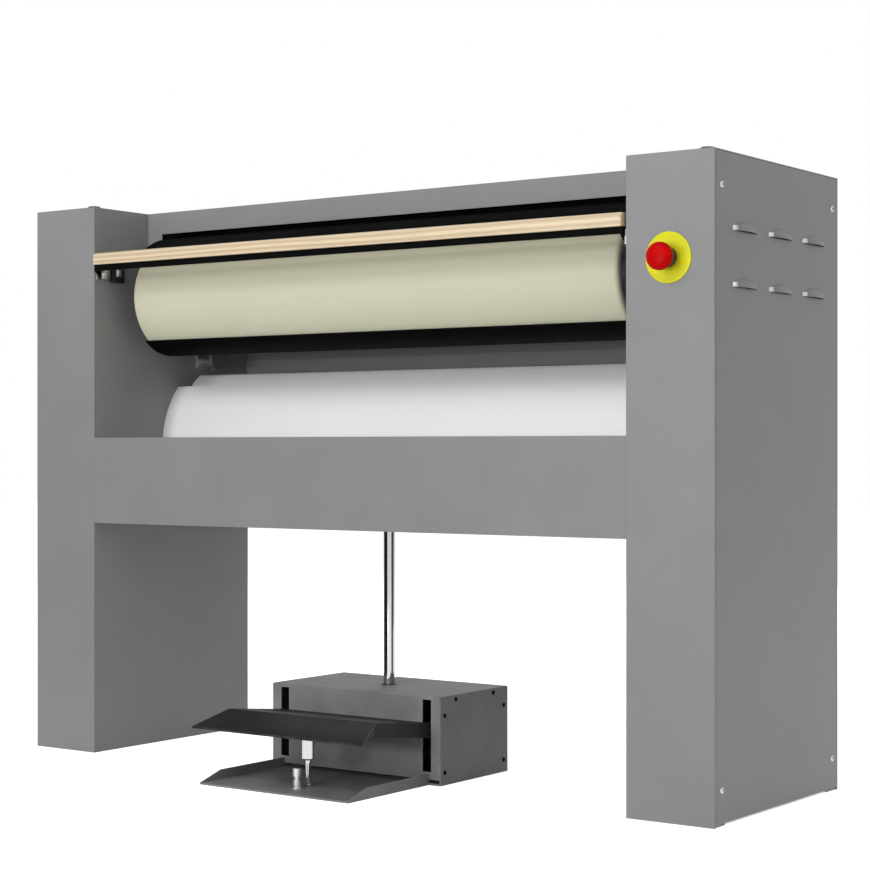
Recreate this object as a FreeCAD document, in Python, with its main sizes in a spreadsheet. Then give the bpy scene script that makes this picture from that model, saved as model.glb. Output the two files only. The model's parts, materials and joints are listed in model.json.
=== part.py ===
import FreeCAD, Part
import math
import os

import Sketcher

# Flatwork ironer, built as separate pieces. Millimetres, Z up, X to the right, Y to the back.
# The origin is on the floor, midway between the sides and midway between the tip of the
# pedal tray and the back. Every piece is drawn from the machine's own datum, the front plane
# of the columns: x across, "setback" behind that plane, z above the floor.

SIZES = [
    # whole machine
    ("column_width", 145), ("column_depth", 415),
    ("column_height", 970), ("tray_reach", 142), ("seam", 0.5), ("fit_gap", 0.1),
    ("running_gap", 0.05), ("pivot_play", 0.3),
    # columns
    ("casing_sheet", 2), ("cover_sheet", 2), ("corner_return", 5), ("cover_flange", 36),
    ("cover_floor_gap", 4), ("base_sheet", 3), ("frame_sheet", 6), ("frame_inset", 20),
    ("frame_top_gap", 30), 
    ("plug_radius", 12), ("plug_height", 4),
    ("plug_inset", 22),
    # louvres and cover screws
    ("louvre_length", 77), ("louvre_height", 14), ("louvre_rise", 8), ("louvre_wall", 1.2),
    ("louvre_pitch", 115.5), ("louvre_row_pitch", 82), ("louvre_middle", 212),
    ("louvre_rise_above_axis", 45), ("screw_inset", 22), ("screw_low", 52),
    ("screw_top_inset", 50.5),
    ("screw_radius", 2.5), ("screw_head_radius", 5), ("screw_head_top", 3.6),
    ("screw_head_height", 2.4), ("screw_length", 6),
    # apron, hood, rear panels, cross beams
    ("apron_low_drop", 403.5), ("apron_high_drop", 252), ("apron_top_fold", 14),
    ("apron_low_fold", 30), ("hood_setback", 137), ("hood_face", 39),
    ("cheek_width", 35), ("cheek_rise", 38), ("panel_joint_drop", 108), ("panel_lap", 8),
    ("beam_depth", 40), ("beam_height", 60), ("beam_wall", 3), ("front_beam_setback", 16),
    ("front_beam_drop", 397), ("rear_beam_drop", 382),
    # roller and its drive
    ("roller_setback", 150), ("roller_drop", 158), ("roller_length", 1000), ("end_space", 45),
    ("tube_radius", 90), ("tube_wall", 4), ("padding", 10), ("padding_edge", 3),
    ("end_disc", 10), ("end_disc_inset", 2), ("hub_radius", 22), ("hub_length", 20),
    ("journal_radius", 15), ("left_journal_length", 90), ("wall_hole_radius", 24),
    ("bearing_flange", 86), ("bearing_flange_sheet", 10), ("bearing_radius", 32),
    ("bearing_length", 24), ("bearing_corner", 12), ("roller_pulley_radius", 75),
    ("pulley_width", 22), ("pulley_start", 65), ("pulley_web", 8), ("pulley_rim", 9),
    ("pulley_hub_radius", 24), ("motor_pulley_radius", 30), ("output_radius", 9),
    ("drive_drop", 252), ("belt_width", 18), ("belt_thickness", 4), ("belt_gap", 0.3),
    ("gearbox_depth", 90), ("gearbox_thickness", 50), ("gearbox_corner", 12),
    ("output_grip", 20), ("motor_radius", 34), ("motor_length", 150),
    ("motor_flange_radius", 40), ("motor_flange", 10), ("motor_offset", 41),
    ("fan_cowl_radius", 36), ("fan_cowl_length", 35), ("motor_fins", 8),
    ("fin_width", 2.4), ("fin_rise", 4), ("fin_length", 90),
    # control box
    ("control_width", 90), ("control_depth", 190), ("control_height", 240),
    ("control_low", 70), ("control_setback", 196), ("control_sheet", 2),
    # heated shoe and guide
    ("shoe_gap", 0.5), ("shoe_wall", 9.5), ("shoe_start_angle", 40), ("shoe_sweep_angle", 175),
    ("heater_count", 3), ("heater_radius", 4), ("heater_ring", 112), ("heater_first_angle", 113),
    ("heater_step_angle", 34), ("boss_width", 18), ("boss_top", 118), ("boss_root", 106),
    ("insulation_inner", 118.5), ("insulation_outer", 130), ("back_sheet", 1.5),
    ("back_start_angle", 100), ("back_sweep_angle", 105), ("back_flange_angle", 0.8),
    ("back_end_inset", 2), ("arm_sheet", 6), ("arm_top_angle", 150), ("arm_middle_angle", 182),
    ("arm_low_angle", 211), ("arm_overhang", 9), ("shoe_pivot_setback", 280),
    ("shoe_pivot_drop", 107), ("pivot_shaft_radius", 10), ("pivot_boss_radius", 18),
    ("pivot_boss_length", 14), ("pivot_shaft_end", 25), ("pivot_flange_width", 29),
    ("pivot_flange_height", 27), ("pivot_flange_sheet", 4), ("pivot_bush_radius", 13.5),
    ("guide_gap", 1), ("guide_sheet", 2), ("guide_start_angle", 240), ("guide_sweep_angle", 70),
    ("guide_rod_radius", 5), ("weld_sink", 0.3),
    # polished slide and trough
    ("slide_sheet", 1.5), ("slide_setback", 175), ("slide_radius", 165),
    ("slide_centre_drop", 267), ("slide_straight", 25), ("slide_sweep_angle", 53.6),
    ("trough_bend", 30), ("trough_front", 16), ("trough_lip", 40), ("notch_width", 33),
    ("notch_drop", 156),
    # linkage in the columns
    ("torque_setback", 224), ("torque_drop", 362), ("torque_radius", 12.5),
    ("torque_bush_radius", 15.5), ("torque_flange_radius", 24), ("torque_flange", 4),
    ("crank_start", 7), ("crank_sheet", 8), ("shoe_crank", 38), ("torque_crank", 18),
    ("crank_pin_radius", 4), ("crank_pin_length", 8), ("crank_eye_radius", 9),
    ("link_sheet", 5), ("link_gap", 1), ("link_eye_radius", 9),
    # pull rod and its lever
    ("rod_x", -12), ("rod_setback", 164.5), ("rod_radius", 10), ("rod_eye_sheet", 8),
    ("rod_eye_radius", 11), ("rod_pin_radius", 5), ("lever_rise", 4.4),
    ("lever_sheet", 6), ("lever_gap", 0.3), ("lever_hub_radius", 20),
    ("lever_eye_radius", 11), ("rod_neck", 18), ("bush_flange_radius", 13),
    ("bush_flange", 1.5), ("bush_length", 12),
    # pedal box
    ("box_x", -12), ("box_width", 350), ("box_setback", 67.5), ("box_depth", 194),
    ("box_height", 143), ("box_sheet", 1.5), ("slot_spacing", 296), ("slot_width", 17),
    ("slot_low", 21), ("slot_top_margin", 6), ("front_panel_low", 9), ("box_flange", 15),
    ("tray_width", 304), ("tray_sheet", 3), ("tray_flange", 18), ("tray_taper", 50),
    ("box_screw_inset", 12), ("box_screw_low", 20.5), ("box_screw_top_inset", 31),
    ("lid_screw_inset", 43), ("lid_screw_drop", 7.5), ("box_screw_radius", 2),
    ("box_screw_head_radius", 3.6), ("box_screw_head_top", 2.6),
    ("box_screw_head_height", 1.6), ("box_screw_length", 4),
    # pedal
    ("pedal_width", 304), ("tread_width", 349), ("tread_front", 136), ("tread_low", 91),
    ("bend_front", 70), ("bend_height", 115), ("pedal_sheet", 3), ("arm_height", 24),
    ("pedal_rear_gap", 2.5), ("arm_tail", 12), ("pedal_pivot_setback", 235),
    ("pedal_pivot_height", 70), ("pedal_shaft_radius", 8), ("cross_bar_rise", 4),
    ("cross_bar_radius", 6),
    # strut and switch post under the tread
    ("strut_x", -4), ("strut_front", 62), ("strut_radius", 9.5), ("strut_low", 44),
    ("strut_top_gap", 0.4), ("strut_rod_radius", 4.5), ("strut_rod_length", 61),
    ("strut_bore_depth", 60), ("strut_foot_radius", 8), ("strut_foot", 2.5),
    ("post_x", -1), ("post_front", 93), ("post_radius", 7), ("post_height", 35),
    ("post_foot_radius", 11), ("post_foot", 2),
    ("post_waist_radius", 5), ("post_waist_low", 14), ("post_waist_high", 19),
    # wooden finger guard
    ("bar_end_gap", 4.5), ("bar_front", 8), ("bar_depth", 30), ("bar_rise", 54.5),
    ("bar_height", 21), ("bar_round", 4), ("carrier_sheet", 2), ("carrier_drop", 11),
    ("carrier_inset", 4), ("lug_sheet", 4), ("lug_radius", 9), ("guard_pivot_setback", 20),
    ("guard_pivot_rise", 40), ("guard_pin_radius", 4), ("bracket_sheet", 4),
    ("bracket_width", 34), ("bracket_height", 22), ("switch_width", 28),
    ("switch_height", 25), ("switch_depth", 9), ("switch_setback", 39),
    ("switch_rise", 26),
    # emergency stop
    ("stop_inset", 74), ("stop_rise", 5), ("stop_plate_radius", 37.5), ("stop_plate", 2),
    ("stop_hole_radius", 11.2), ("collar_radius", 15), ("collar_front", 11),
    ("stem_radius", 8), ("stem_reach", 24), ("head_radius", 20.5), ("head_back", 16),
    ("head_front", 38), ("head_rim", 9), ("head_neck", 13), ("head_socket", 12),
    ("spigot_radius", 6), ("block_width", 40), ("block_depth", 44), ("block_bore", 30),
]


class Size:
    """A length or angle: its number, and the formula that gives it from the sheet."""

    def __init__(self, number, formula):
        self.number = number
        self.formula = formula

    def __float__(self):
        return float(self.number)

    def __add__(self, other):
        return joined(self, "+", other, float(self) + float(other))

    def __radd__(self, other):
        return joined(other, "+", self, float(other) + float(self))

    def __sub__(self, other):
        return joined(self, "-", other, float(self) - float(other))

    def __rsub__(self, other):
        return joined(other, "-", self, float(other) - float(self))

    def __mul__(self, other):
        return joined(self, "*", other, float(self) * float(other))

    def __rmul__(self, other):
        return joined(other, "*", self, float(other) * float(self))

    def __truediv__(self, other):
        return joined(self, "/", other, float(self) / float(other))

    def __neg__(self):
        return joined(-1, "*", self, -float(self))


def formula(size):
    return size.formula if isinstance(size, Size) else "(%r)" % float(size)


def joined(first, sign, second, number):
    return Size(number, "(%s %s %s)" % (formula(first), sign, formula(second)))


def cosine(angle):
    return Size(math.cos(math.radians(float(angle))), "cos(%s)" % formula(angle))


def sine(angle):
    return Size(math.sin(math.radians(float(angle))), "sin(%s)" % formula(angle))


def root(size):
    return Size(math.sqrt(float(size)), "sqrt(%s)" % formula(size))


doc = FreeCAD.newDocument("FlatworkIroner")
sheet = doc.addObject("Spreadsheet::Sheet", "Sizes")
for row, (alias, number) in enumerate(SIZES, 1):
    sheet.set("A%d" % row, alias)
    sheet.set("B%d" % row, str(number))
    sheet.setAlias("B%d" % row, alias)
doc.recompute()


class Sheet:
    """Gives the driving sizes by their aliases."""

    def __getattr__(self, alias):
        return Size(float(sheet.get(alias)), "Sizes." + alias)


S = Sheet()
NODES = {}
SETBACKS = {}

# places that several pieces share
front_y = (S.tray_reach - S.column_depth) / 2
inner_x = S.roller_length / 2 + S.end_space
outer_x = inner_x + S.column_width
frame_x = inner_x + S.casing_sheet
bench_x = frame_x + S.frame_sheet
cover_x = outer_x - S.cover_sheet
half_roller = S.roller_length / 2
roller_height = S.column_height - S.roller_drop
shoe_pivot_height = roller_height - S.shoe_pivot_drop
torque_height = roller_height - S.torque_drop
slide_centre_height = roller_height - S.slide_centre_drop
trough_height = slide_centre_height - S.slide_straight - S.trough_bend
panel_joint = roller_height - S.panel_joint_drop
apron_low = roller_height - S.apron_low_drop
bar_low = roller_height + S.bar_rise
guard_pivot_height = roller_height + S.guard_pivot_rise
stop_x = outer_x - S.stop_inset
padding_radius = S.tube_radius + S.padding
shoe_inner = padding_radius + S.shoe_gap
shoe_outer = shoe_inner + S.shoe_wall
crank_x = bench_x + S.crank_start
link_x = crank_x + S.crank_sheet + S.link_gap
hood_low = S.column_height - S.hood_face
tray_top = S.tray_sheet
box_side = S.box_width / 2
box_back = S.box_setback + S.box_depth
bar_half = inner_x - S.bar_end_gap
pulley_x = bench_x + S.pulley_start


def bind(thing, place, size):
    thing.setExpression(place, formula(size))


def along(axis):
    """Turns a piece drawn along its own X axis to lie along another axis."""
    turns = {
        "x": FreeCAD.Rotation(),
        "y": FreeCAD.Rotation(FreeCAD.Vector(0, 0, 1), 90),
        "z": FreeCAD.Rotation(FreeCAD.Vector(0, 1, 0), -90),
    }
    return turns[axis]


def seat(thing, x, setback, z):
    """Places a thing by formulas, measured from the front plane of the columns."""
    SETBACKS[thing.Name] = setback
    bind(thing, "Placement.Base.x", x)
    bind(thing, "Placement.Base.y", setback)
    bind(thing, "Placement.Base.z", z)
    return thing


def node(thing, name):
    """Names a finished sub-part and moves it from the front plane to the part's origin."""
    thing.Label = name
    bind(thing, "Placement.Base.y", front_y + SETBACKS.get(thing.Name, 0))
    NODES[name] = thing
    return thing


def add(kind, name):
    return doc.addObject(kind, name)


# ---- Part primitives and booleans -----------------------------------------------------


def box(name, x, setback, z, width, depth, height):
    """A block whose low corner is at x, setback, z."""
    block = add("Part::Box", name)
    bind(block, "Length", width)
    bind(block, "Width", depth)
    bind(block, "Height", height)
    return seat(block, x, setback, z)


def span_box(name, low, high):
    """A block from its low corner to its high corner."""
    sizes = [high[i] - low[i] for i in range(3)]
    return box(name, low[0], low[1], low[2], *sizes)


def rod(name, axis, x, setback, z, radius, length, angle=None):
    """A cylinder that starts at x, setback, z and runs along an axis."""
    turns = {
        "x": FreeCAD.Rotation(FreeCAD.Vector(0, 1, 0), 90),
        "y": FreeCAD.Rotation(FreeCAD.Vector(1, 0, 0), -90),
        "z": FreeCAD.Rotation(),
    }
    bar = add("Part::Cylinder", name)
    bind(bar, "Radius", radius)
    bind(bar, "Height", length)
    if angle is not None:
        bind(bar, "Angle", angle)
    bar.Placement = FreeCAD.Placement(FreeCAD.Vector(), turns[axis])
    return seat(bar, x, setback, z)


def cut(name, base, *tools):
    result = base
    for number, tool in enumerate(tools):
        last = number == len(tools) - 1
        piece = add("Part::Cut", name if last else "%s_cut%d" % (name, number))
        piece.Base = result
        piece.Tool = tool
        result = piece
    return result


def fuse(name, *pieces):
    result = add("Part::MultiFuse", name)
    result.Shapes = list(pieces)
    return result


def group(name, pieces):
    result = add("Part::Compound", name)
    result.Links = list(pieces)
    return result


def sector(name, centre, inner, outer, x, length, start, sweep):
    """A curved plate about an X axis. Angles go from the front (0) over the top (90)."""
    solids = []
    # laid along X, a cylinder starts straight down (270) and its angle runs the other way
    turn = 270 - (start + sweep)
    for label, radius in (("outer", outer), ("inner", inner)):
        bar = add("Part::Cylinder", "%s_%s" % (name, label))
        bind(bar, "Radius", radius)
        bind(bar, "Height", length)
        bind(bar, "Angle", sweep)
        spin = FreeCAD.Rotation(FreeCAD.Vector(0, 0, 1), float(turn))
        bar.Placement = FreeCAD.Placement(FreeCAD.Vector(), spin)
        bind(bar, "Placement.Rotation.Angle", turn)
        solids.append(bar)
    ring = cut(name, *solids)
    lie_down = FreeCAD.Rotation(FreeCAD.Vector(0, 1, 0), 90)
    ring.Placement = FreeCAD.Placement(FreeCAD.Vector(), lie_down)
    return seat(ring, x, centre[0], centre[1])


# ---- PartDesign bodies ----------------------------------------------------------------


def body(name, x=0, setback=0, z=0, turn=None):
    piece = add("PartDesign::Body", name)
    if turn is not None:
        piece.Placement = FreeCAD.Placement(FreeCAD.Vector(), turn)
    return seat(piece, x, setback, z)


def sketch(piece, role, offset=None):
    plane = [p for p in piece.Origin.OriginFeatures if p.Role == role][0]
    drawing = piece.newObject("Sketcher::SketchObject", piece.Name + "_sketch")
    drawing.AttachmentSupport = [(plane, "")]
    drawing.MapMode = "FlatFace"
    if offset is not None:
        bind(drawing, "AttachmentOffset.Base.z", offset)
    return drawing


def pin(drawing, edge, point, x, y):
    """Holds a point of a sketch at two distances from the sketch's origin."""
    for kind, axis, size in (("DistanceX", -2, x), ("DistanceY", -1, y)):
        if isinstance(size, Size) or size != 0:
            row = Sketcher.Constraint(kind, -1, 1, edge, point, float(size))
            number = drawing.addConstraint(row)
            bind(drawing, "Constraints[%d]" % number, size)
        else:
            drawing.addConstraint(Sketcher.Constraint("PointOnObject", edge, point, axis))


def polygon(drawing, corners):
    start = drawing.GeometryCount
    count = len(corners)
    for number in range(count):
        ends = (corners[number], corners[(number + 1) % count])
        points = [FreeCAD.Vector(float(a), float(b), 0) for a, b in ends]
        drawing.addGeometry(Part.LineSegment(*points), False)
    for number in range(count):
        follower = start + (number + 1) % count
        drawing.addConstraint(Sketcher.Constraint("Coincident", start + number, 2, follower, 1))
    for number, (a, b) in enumerate(corners):
        pin(drawing, start + number, 1, a, b)
    return drawing


def rectangle(drawing, low, high):
    corners = [low, (high[0], low[1]), high, (low[0], high[1])]
    return polygon(drawing, corners)


def circle(drawing, x, y, radius):
    normal = FreeCAD.Vector(0, 0, 1)
    centre = FreeCAD.Vector(float(x), float(y), 0)
    edge = drawing.addGeometry(Part.Circle(centre, normal, float(radius)), False)
    pin(drawing, edge, 3, x, y)
    number = drawing.addConstraint(Sketcher.Constraint("Radius", edge, float(radius)))
    bind(drawing, "Constraints[%d]" % number, radius)
    return drawing


def pad(piece, drawing, length, both_ways=False, back=False):
    feature = piece.newObject("PartDesign::Pad", piece.Name + "_pad")
    feature.Profile = drawing
    feature.Reversed = back
    if both_ways:
        feature.SideType = "Symmetric"
    bind(feature, "Length", length)
    doc.recompute()
    return feature


def pocket(piece, drawing, length=None, back=False):
    """Cuts a sketch away, right through both ways when no length is given."""
    before = piece.Shape.Volume
    feature = piece.newObject("PartDesign::Pocket", piece.Name + "_pocket")
    feature.Profile = drawing
    if length is None:
        feature.Type = "ThroughAll"
        feature.SideType = "Symmetric"
    else:
        feature.Reversed = back
        bind(feature, "Length", length)
    doc.recompute()
    if piece.Shape.Volume > before - 0.01:
        raise ValueError("a pocket of %s cuts nothing" % piece.Name)
    return feature


def turned(name, axis, x, setback, z, profile):
    """A turned piece: profile points are (distance along the axis, radius)."""
    piece = body(name, x, setback, z, along(axis))
    drawing = polygon(sketch(piece, "XY_Plane"), profile)
    feature = piece.newObject("PartDesign::Revolution", name + "_turn")
    feature.Profile = drawing
    feature.ReferenceAxis = (drawing, ["H_Axis"])
    feature.Angle = 360
    return piece


def mirrored(piece, feature, role="YZ_Plane"):
    plane = [p for p in piece.Origin.OriginFeatures if p.Role == role][0]
    copy = piece.newObject("PartDesign::Mirrored", piece.Name + "_mirror")
    copy.Originals = [feature]
    copy.MirrorPlane = (plane, [""])
    piece.Tip = copy
    doc.recompute()
    return copy


def span(side, near, far):
    """Low and high x of something that lies between two distances from the middle."""
    return (near, far) if side > 0 else (-far, -near)


def side_name(side):
    return "right" if side > 0 else "left"


def on_ring(radius, angle):
    """A point (setback, z) at an angle about the roller's axis, from the front over the top."""
    return S.roller_setback - radius * cosine(angle), roller_height + radius * sine(angle)


# ---- columns --------------------------------------------------------------------------


def cover_screw_places():
    back = S.column_depth - S.screw_inset
    heights = (S.screw_low, S.column_height - S.screw_top_inset)
    return [(s, z) for s in (S.screw_inset, back) for z in heights]


def column_casing(side):
    """One folded sheet: front, inner wall, back and joggled flanges, with its folded top."""
    sheet_x = cover_x - S.casing_sheet
    depth = S.column_depth
    front_half = [
        (outer_x, 0),
        (outer_x, S.corner_return),
        (cover_x, S.corner_return),
        (cover_x, S.cover_flange),
        (sheet_x, S.cover_flange),
        (sheet_x, S.corner_return - S.casing_sheet),
        (outer_x - S.casing_sheet, S.corner_return - S.casing_sheet),
        (outer_x - S.casing_sheet, S.casing_sheet),
        (frame_x, S.casing_sheet),
    ]
    back_half = [(x, depth - s) for x, s in reversed(front_half)]
    corners = [(inner_x, 0)] + front_half + back_half + [(inner_x, depth)]
    piece = body(side_name(side) + "_column_casing")
    outline = polygon(sketch(piece, "XY_Plane"), [(side * x, s) for x, s in corners])
    pad(piece, outline, S.column_height)
    top = sketch(piece, "XY_Plane", S.column_height - S.casing_sheet)
    low, high = span(side, frame_x, outer_x)
    rectangle(top, (low, S.casing_sheet), (high, depth - S.casing_sheet))
    pad(piece, top, S.casing_sheet)
    holes = sketch(piece, "YZ_Plane")
    circle(holes, S.roller_setback, roller_height, S.wall_hole_radius)
    circle(holes, S.shoe_pivot_setback, shoe_pivot_height, S.pivot_bush_radius + S.fit_gap)
    circle(holes, S.torque_setback, torque_height, S.torque_bush_radius + S.fit_gap)
    pocket(piece, holes)
    flange_holes = sketch(piece, "YZ_Plane", side * outer_x)
    for s, z in cover_screw_places():
        circle(flange_holes, s, z, S.screw_radius + S.fit_gap)
    pocket(piece, flange_holes, S.corner_return * 2, back=side < 0)
    if side > 0:
        stop = sketch(piece, "XZ_Plane")
        circle(stop, stop_x, roller_height + S.stop_rise, S.stop_hole_radius)
        pocket(piece, stop, S.casing_sheet * 2)
    node(piece, side_name(side) + "_column_casing")


def side_cover(side):
    """The outer cover, with rows of pressed eyebrow louvres that open downwards."""
    name = side_name(side) + "_side_cover"
    low, high = span(side, cover_x, outer_x)
    edge = S.corner_return + S.seam
    top = S.column_height - S.casing_sheet - S.seam
    piece = body(name + "_plate")
    plate = sketch(piece, "YZ_Plane", low)
    rectangle(plate, (edge, S.cover_floor_gap), (S.column_depth - edge, top))
    for s, z in cover_screw_places():
        circle(plate, s, z, S.screw_radius + S.fit_gap)
    pad(piece, plate, S.cover_sheet)
    domes = []
    hollows = []
    for row in (0, 1):
        for column in (-1, 0, 1):
            place = (side * cover_x, S.louvre_middle + column * S.louvre_pitch,
                     roller_height + S.louvre_rise_above_axis - row * S.louvre_row_pitch)
            for wall, kind in ((0, domes), (S.louvre_wall, hollows)):
                kind.append(eyebrow(name, side, place, wall))
    pressed = fuse(name + "_pressed", piece, *domes)
    node(cut(name, pressed, fuse(name + "_hollows", *hollows)), name)


def eyebrow(name, side, place, wall):
    """A quarter of a long ellipsoid: the outside of a louvre, or its hollow."""
    dome = add("Part::Ellipsoid", name + "_dome")
    bind(dome, "Radius1", S.louvre_height - wall)
    bind(dome, "Radius2", S.louvre_length / 2 - wall)
    bind(dome, "Radius3", S.louvre_rise + S.cover_sheet - wall)
    dome.Angle1 = 0
    dome.Angle2 = 90
    dome.Angle3 = 180
    turn = FreeCAD.Rotation(FreeCAD.Vector(0, 0, 1), -90 * side)
    dome.Placement = FreeCAD.Placement(FreeCAD.Vector(), turn)
    return seat(dome, *place)


def screw(name, side, x, setback, z, sizes):
    """A pan-head screw whose head sits on the plane x and whose shank points inwards."""
    shank, head, head_top, height, length = sizes
    profile = [(-length, 0), (-length, shank), (0, shank), (0, head), (height, head_top),
               (height, 0)]
    points = [(side * along_axis, radius) for along_axis, radius in profile]
    return turned(name, "x", x, setback, z, points)


def side_cover_screws():
    sizes = (S.screw_radius, S.screw_head_radius, S.screw_head_top, S.screw_head_height,
             S.screw_length)
    screws = []
    for side in (-1, 1):
        for s, z in cover_screw_places():
            screws.append(screw("cover_screw", side, side * outer_x, s, z, sizes))
    node(group("side_cover_screws", screws), "side_cover_screws")


def top_plugs():
    """One plug on each column, near its front right-hand corner."""
    plugs = []
    for x in (-inner_x - S.plug_inset, outer_x - S.plug_inset):
        profile = [(0, 0), (0, S.plug_radius), (S.plug_height / 2, S.plug_radius),
                   (S.plug_height, S.plug_radius - S.plug_height / 2), (S.plug_height, 0)]
        plugs.append(turned("top_plug", "z", x, S.plug_inset, S.column_height, profile))
    node(group("top_plugs", plugs), "top_plugs")


def column_base_plates():
    plates = []
    for side in (-1, 1):
        low, high = span(side, frame_x, cover_x - S.casing_sheet)
        plates.append(span_box("base_plate", (low, S.casing_sheet, 0),
                               (high, S.column_depth - S.casing_sheet, S.base_sheet)))
    node(group("column_base_plates", plates), "column_base_plates")


def frame_plates():
    plates = [frame_plate(side) for side in (-1, 1)]
    node(group("frame_plates", plates), "frame_plates")


def frame_plate(side):
    """The thick plate inside a column that carries the bearings and bushes."""
    low = span(side, frame_x, bench_x)[0]
    piece = body(side_name(side) + "_frame_plate")
    plate = sketch(piece, "YZ_Plane", low)
    back = S.column_depth - S.frame_inset
    rectangle(plate, (S.frame_inset, S.base_sheet), (back, S.column_height - S.frame_top_gap))
    circle(plate, S.roller_setback, roller_height, S.wall_hole_radius)
    circle(plate, S.shoe_pivot_setback, shoe_pivot_height, S.pivot_bush_radius + S.fit_gap)
    circle(plate, S.torque_setback, torque_height, S.torque_bush_radius + S.fit_gap)
    pad(piece, plate, S.frame_sheet)
    return piece


# ---- sheets and beams between the columns ---------------------------------------------


def front_apron():
    """The folded front sheet, flush with the columns."""
    sheet = S.casing_sheet
    low, high = apron_low, roller_height - S.apron_high_drop
    piece = body("front_apron")
    profile = [(0, low), (S.apron_low_fold, low), (S.apron_low_fold, low + sheet),
               (sheet, low + sheet), (sheet, high - sheet), (S.apron_top_fold, high - sheet),
               (S.apron_top_fold, high), (0, high)]
    pad(piece, polygon(sketch(piece, "YZ_Plane"), profile), inner_x * 2, both_ways=True)
    node(piece, "front_apron")


def top_hood():
    """The hood over the shoe: its top, its front fascia and a cheek at each end."""
    sheet = S.casing_sheet
    face = S.hood_setback
    high = S.column_height
    piece = body("top_hood")
    profile = [(face, hood_low), (face + sheet, hood_low), (face + sheet, high - sheet),
               (S.column_depth, high - sheet), (S.column_depth, high), (face, high)]
    pad(piece, polygon(sketch(piece, "YZ_Plane"), profile), inner_x * 2, both_ways=True)
    cheek = sketch(piece, "XZ_Plane", -(face + sheet))
    cheek_low = roller_height + S.cheek_rise
    for side in (-1, 1):
        near, far = span(side, inner_x - S.cheek_width, inner_x)
        rectangle(cheek, (near, cheek_low), (far, high - sheet))
    pad(piece, cheek, sheet)
    node(piece, "top_hood")


def rear_panels():
    """Two lapped panels: the lower one is set in by its own thickness."""
    sheet = S.casing_sheet
    back = S.column_depth
    high = S.column_height - sheet
    node(span_box("upper_rear_panel", (-inner_x, back - sheet, panel_joint - S.panel_lap),
                  (inner_x, back, high)), "upper_rear_panel")
    node(span_box("lower_rear_panel", (-inner_x, back - 2 * sheet, apron_low),
                  (inner_x, back - sheet, panel_joint + S.panel_lap)), "lower_rear_panel")


def cross_beams():
    """Two square tubes between the columns."""
    rear = S.column_depth - 2 * S.casing_sheet - S.beam_depth
    places = {"front_cross_beam": (S.front_beam_setback, roller_height - S.front_beam_drop),
              "rear_cross_beam": (rear, roller_height - S.rear_beam_drop)}
    beams = [cross_beam(name, *place) for name, place in places.items()]
    node(group("cross_beams", beams), "cross_beams")


def cross_beam(name, setback, low):
    piece = body(name)
    section = sketch(piece, "YZ_Plane")
    wall = S.beam_wall
    rectangle(section, (setback, low), (setback + S.beam_depth, low + S.beam_height))
    rectangle(section, (setback + wall, low + wall),
              (setback + S.beam_depth - wall, low + S.beam_height - wall))
    pad(piece, section, inner_x * 2, both_ways=True)
    return piece


# ---- polished linen tray --------------------------------------------------------------


def linen_tray():
    """The slide and trough: a bowed face, a bend, a floor and a front lip in one sheet."""
    sheet = S.slide_sheet
    face = S.slide_setback
    bow = S.slide_radius
    low = trough_height
    bend = S.trough_bend
    width = inner_x * 2
    centre = (face + bow, slide_centre_height)
    curve = sector("slide_curve", centre, bow - sheet, bow, -inner_x, width, 0, S.slide_sweep_angle)
    wall = span_box("slide_wall", (-inner_x, face, low + bend),
                    (inner_x, face + sheet, slide_centre_height))
    corner = sector("slide_corner", (face - bend, low + bend), bend, bend + sheet, -inner_x,
                    width, 180, 90)
    floor = span_box("trough_floor", (-inner_x, S.trough_front, low - sheet),
                     (inner_x, face - bend, low))
    lip = span_box("trough_lip", (-inner_x, S.trough_front, low - sheet),
                   (inner_x, S.trough_front + sheet, low + S.trough_lip))
    blank = fuse("tray_blank", curve, wall, corner, floor, lip)
    notches = []
    for side in (-1, 1):
        near, far = span(side, inner_x - S.notch_width, inner_x)
        notches.append(span_box("tray_notch", (near, face, roller_height - S.notch_drop),
                                (far, S.column_depth, panel_joint)))
    node(cut("linen_tray", blank, fuse("tray_notches", *notches)), "linen_tray")


# ---- roller ---------------------------------------------------------------------------


def roller_tube():
    piece = body("roller_tube", 0, S.roller_setback, roller_height)
    ring = circle(sketch(piece, "YZ_Plane"), 0, 0, S.tube_radius)
    circle(ring, 0, 0, S.tube_radius - S.tube_wall)
    pad(piece, ring, S.roller_length, both_ways=True)
    node(piece, "roller_tube")


def roller_padding():
    """The padding is one sleeve with softened edges."""
    inner = S.tube_radius + S.fit_gap
    edge = padding_radius - S.padding_edge
    flat = half_roller - S.padding_edge
    profile = [(-half_roller, inner), (-half_roller, edge), (-flat, padding_radius),
               (flat, padding_radius), (half_roller, edge), (half_roller, inner)]
    piece = turned("roller_padding", "x", 0, S.roller_setback, roller_height, profile)
    node(piece, "roller_padding")


def journal(side, reach):
    """End disc, hub and stub shaft in one; x is measured out from the roller's end."""
    disc = S.tube_radius - S.tube_wall - S.fit_gap
    inset = S.end_disc_inset
    profile = [(-inset - S.end_disc, 0), (-inset - S.end_disc, disc), (-inset, disc),
               (-inset, S.hub_radius), (S.hub_length, S.hub_radius),
               (S.hub_length, S.journal_radius), (reach, S.journal_radius), (reach, 0)]
    points = [(side * x, radius) for x, radius in profile]
    name = side_name(side) + "_journal"
    piece = turned(name, "x", side * half_roller, S.roller_setback, roller_height, points)
    node(piece, name)


def roller_bearings():
    bearings = [roller_bearing(side) for side in (-1, 1)]
    node(group("roller_bearings", bearings), "roller_bearings")


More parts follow.
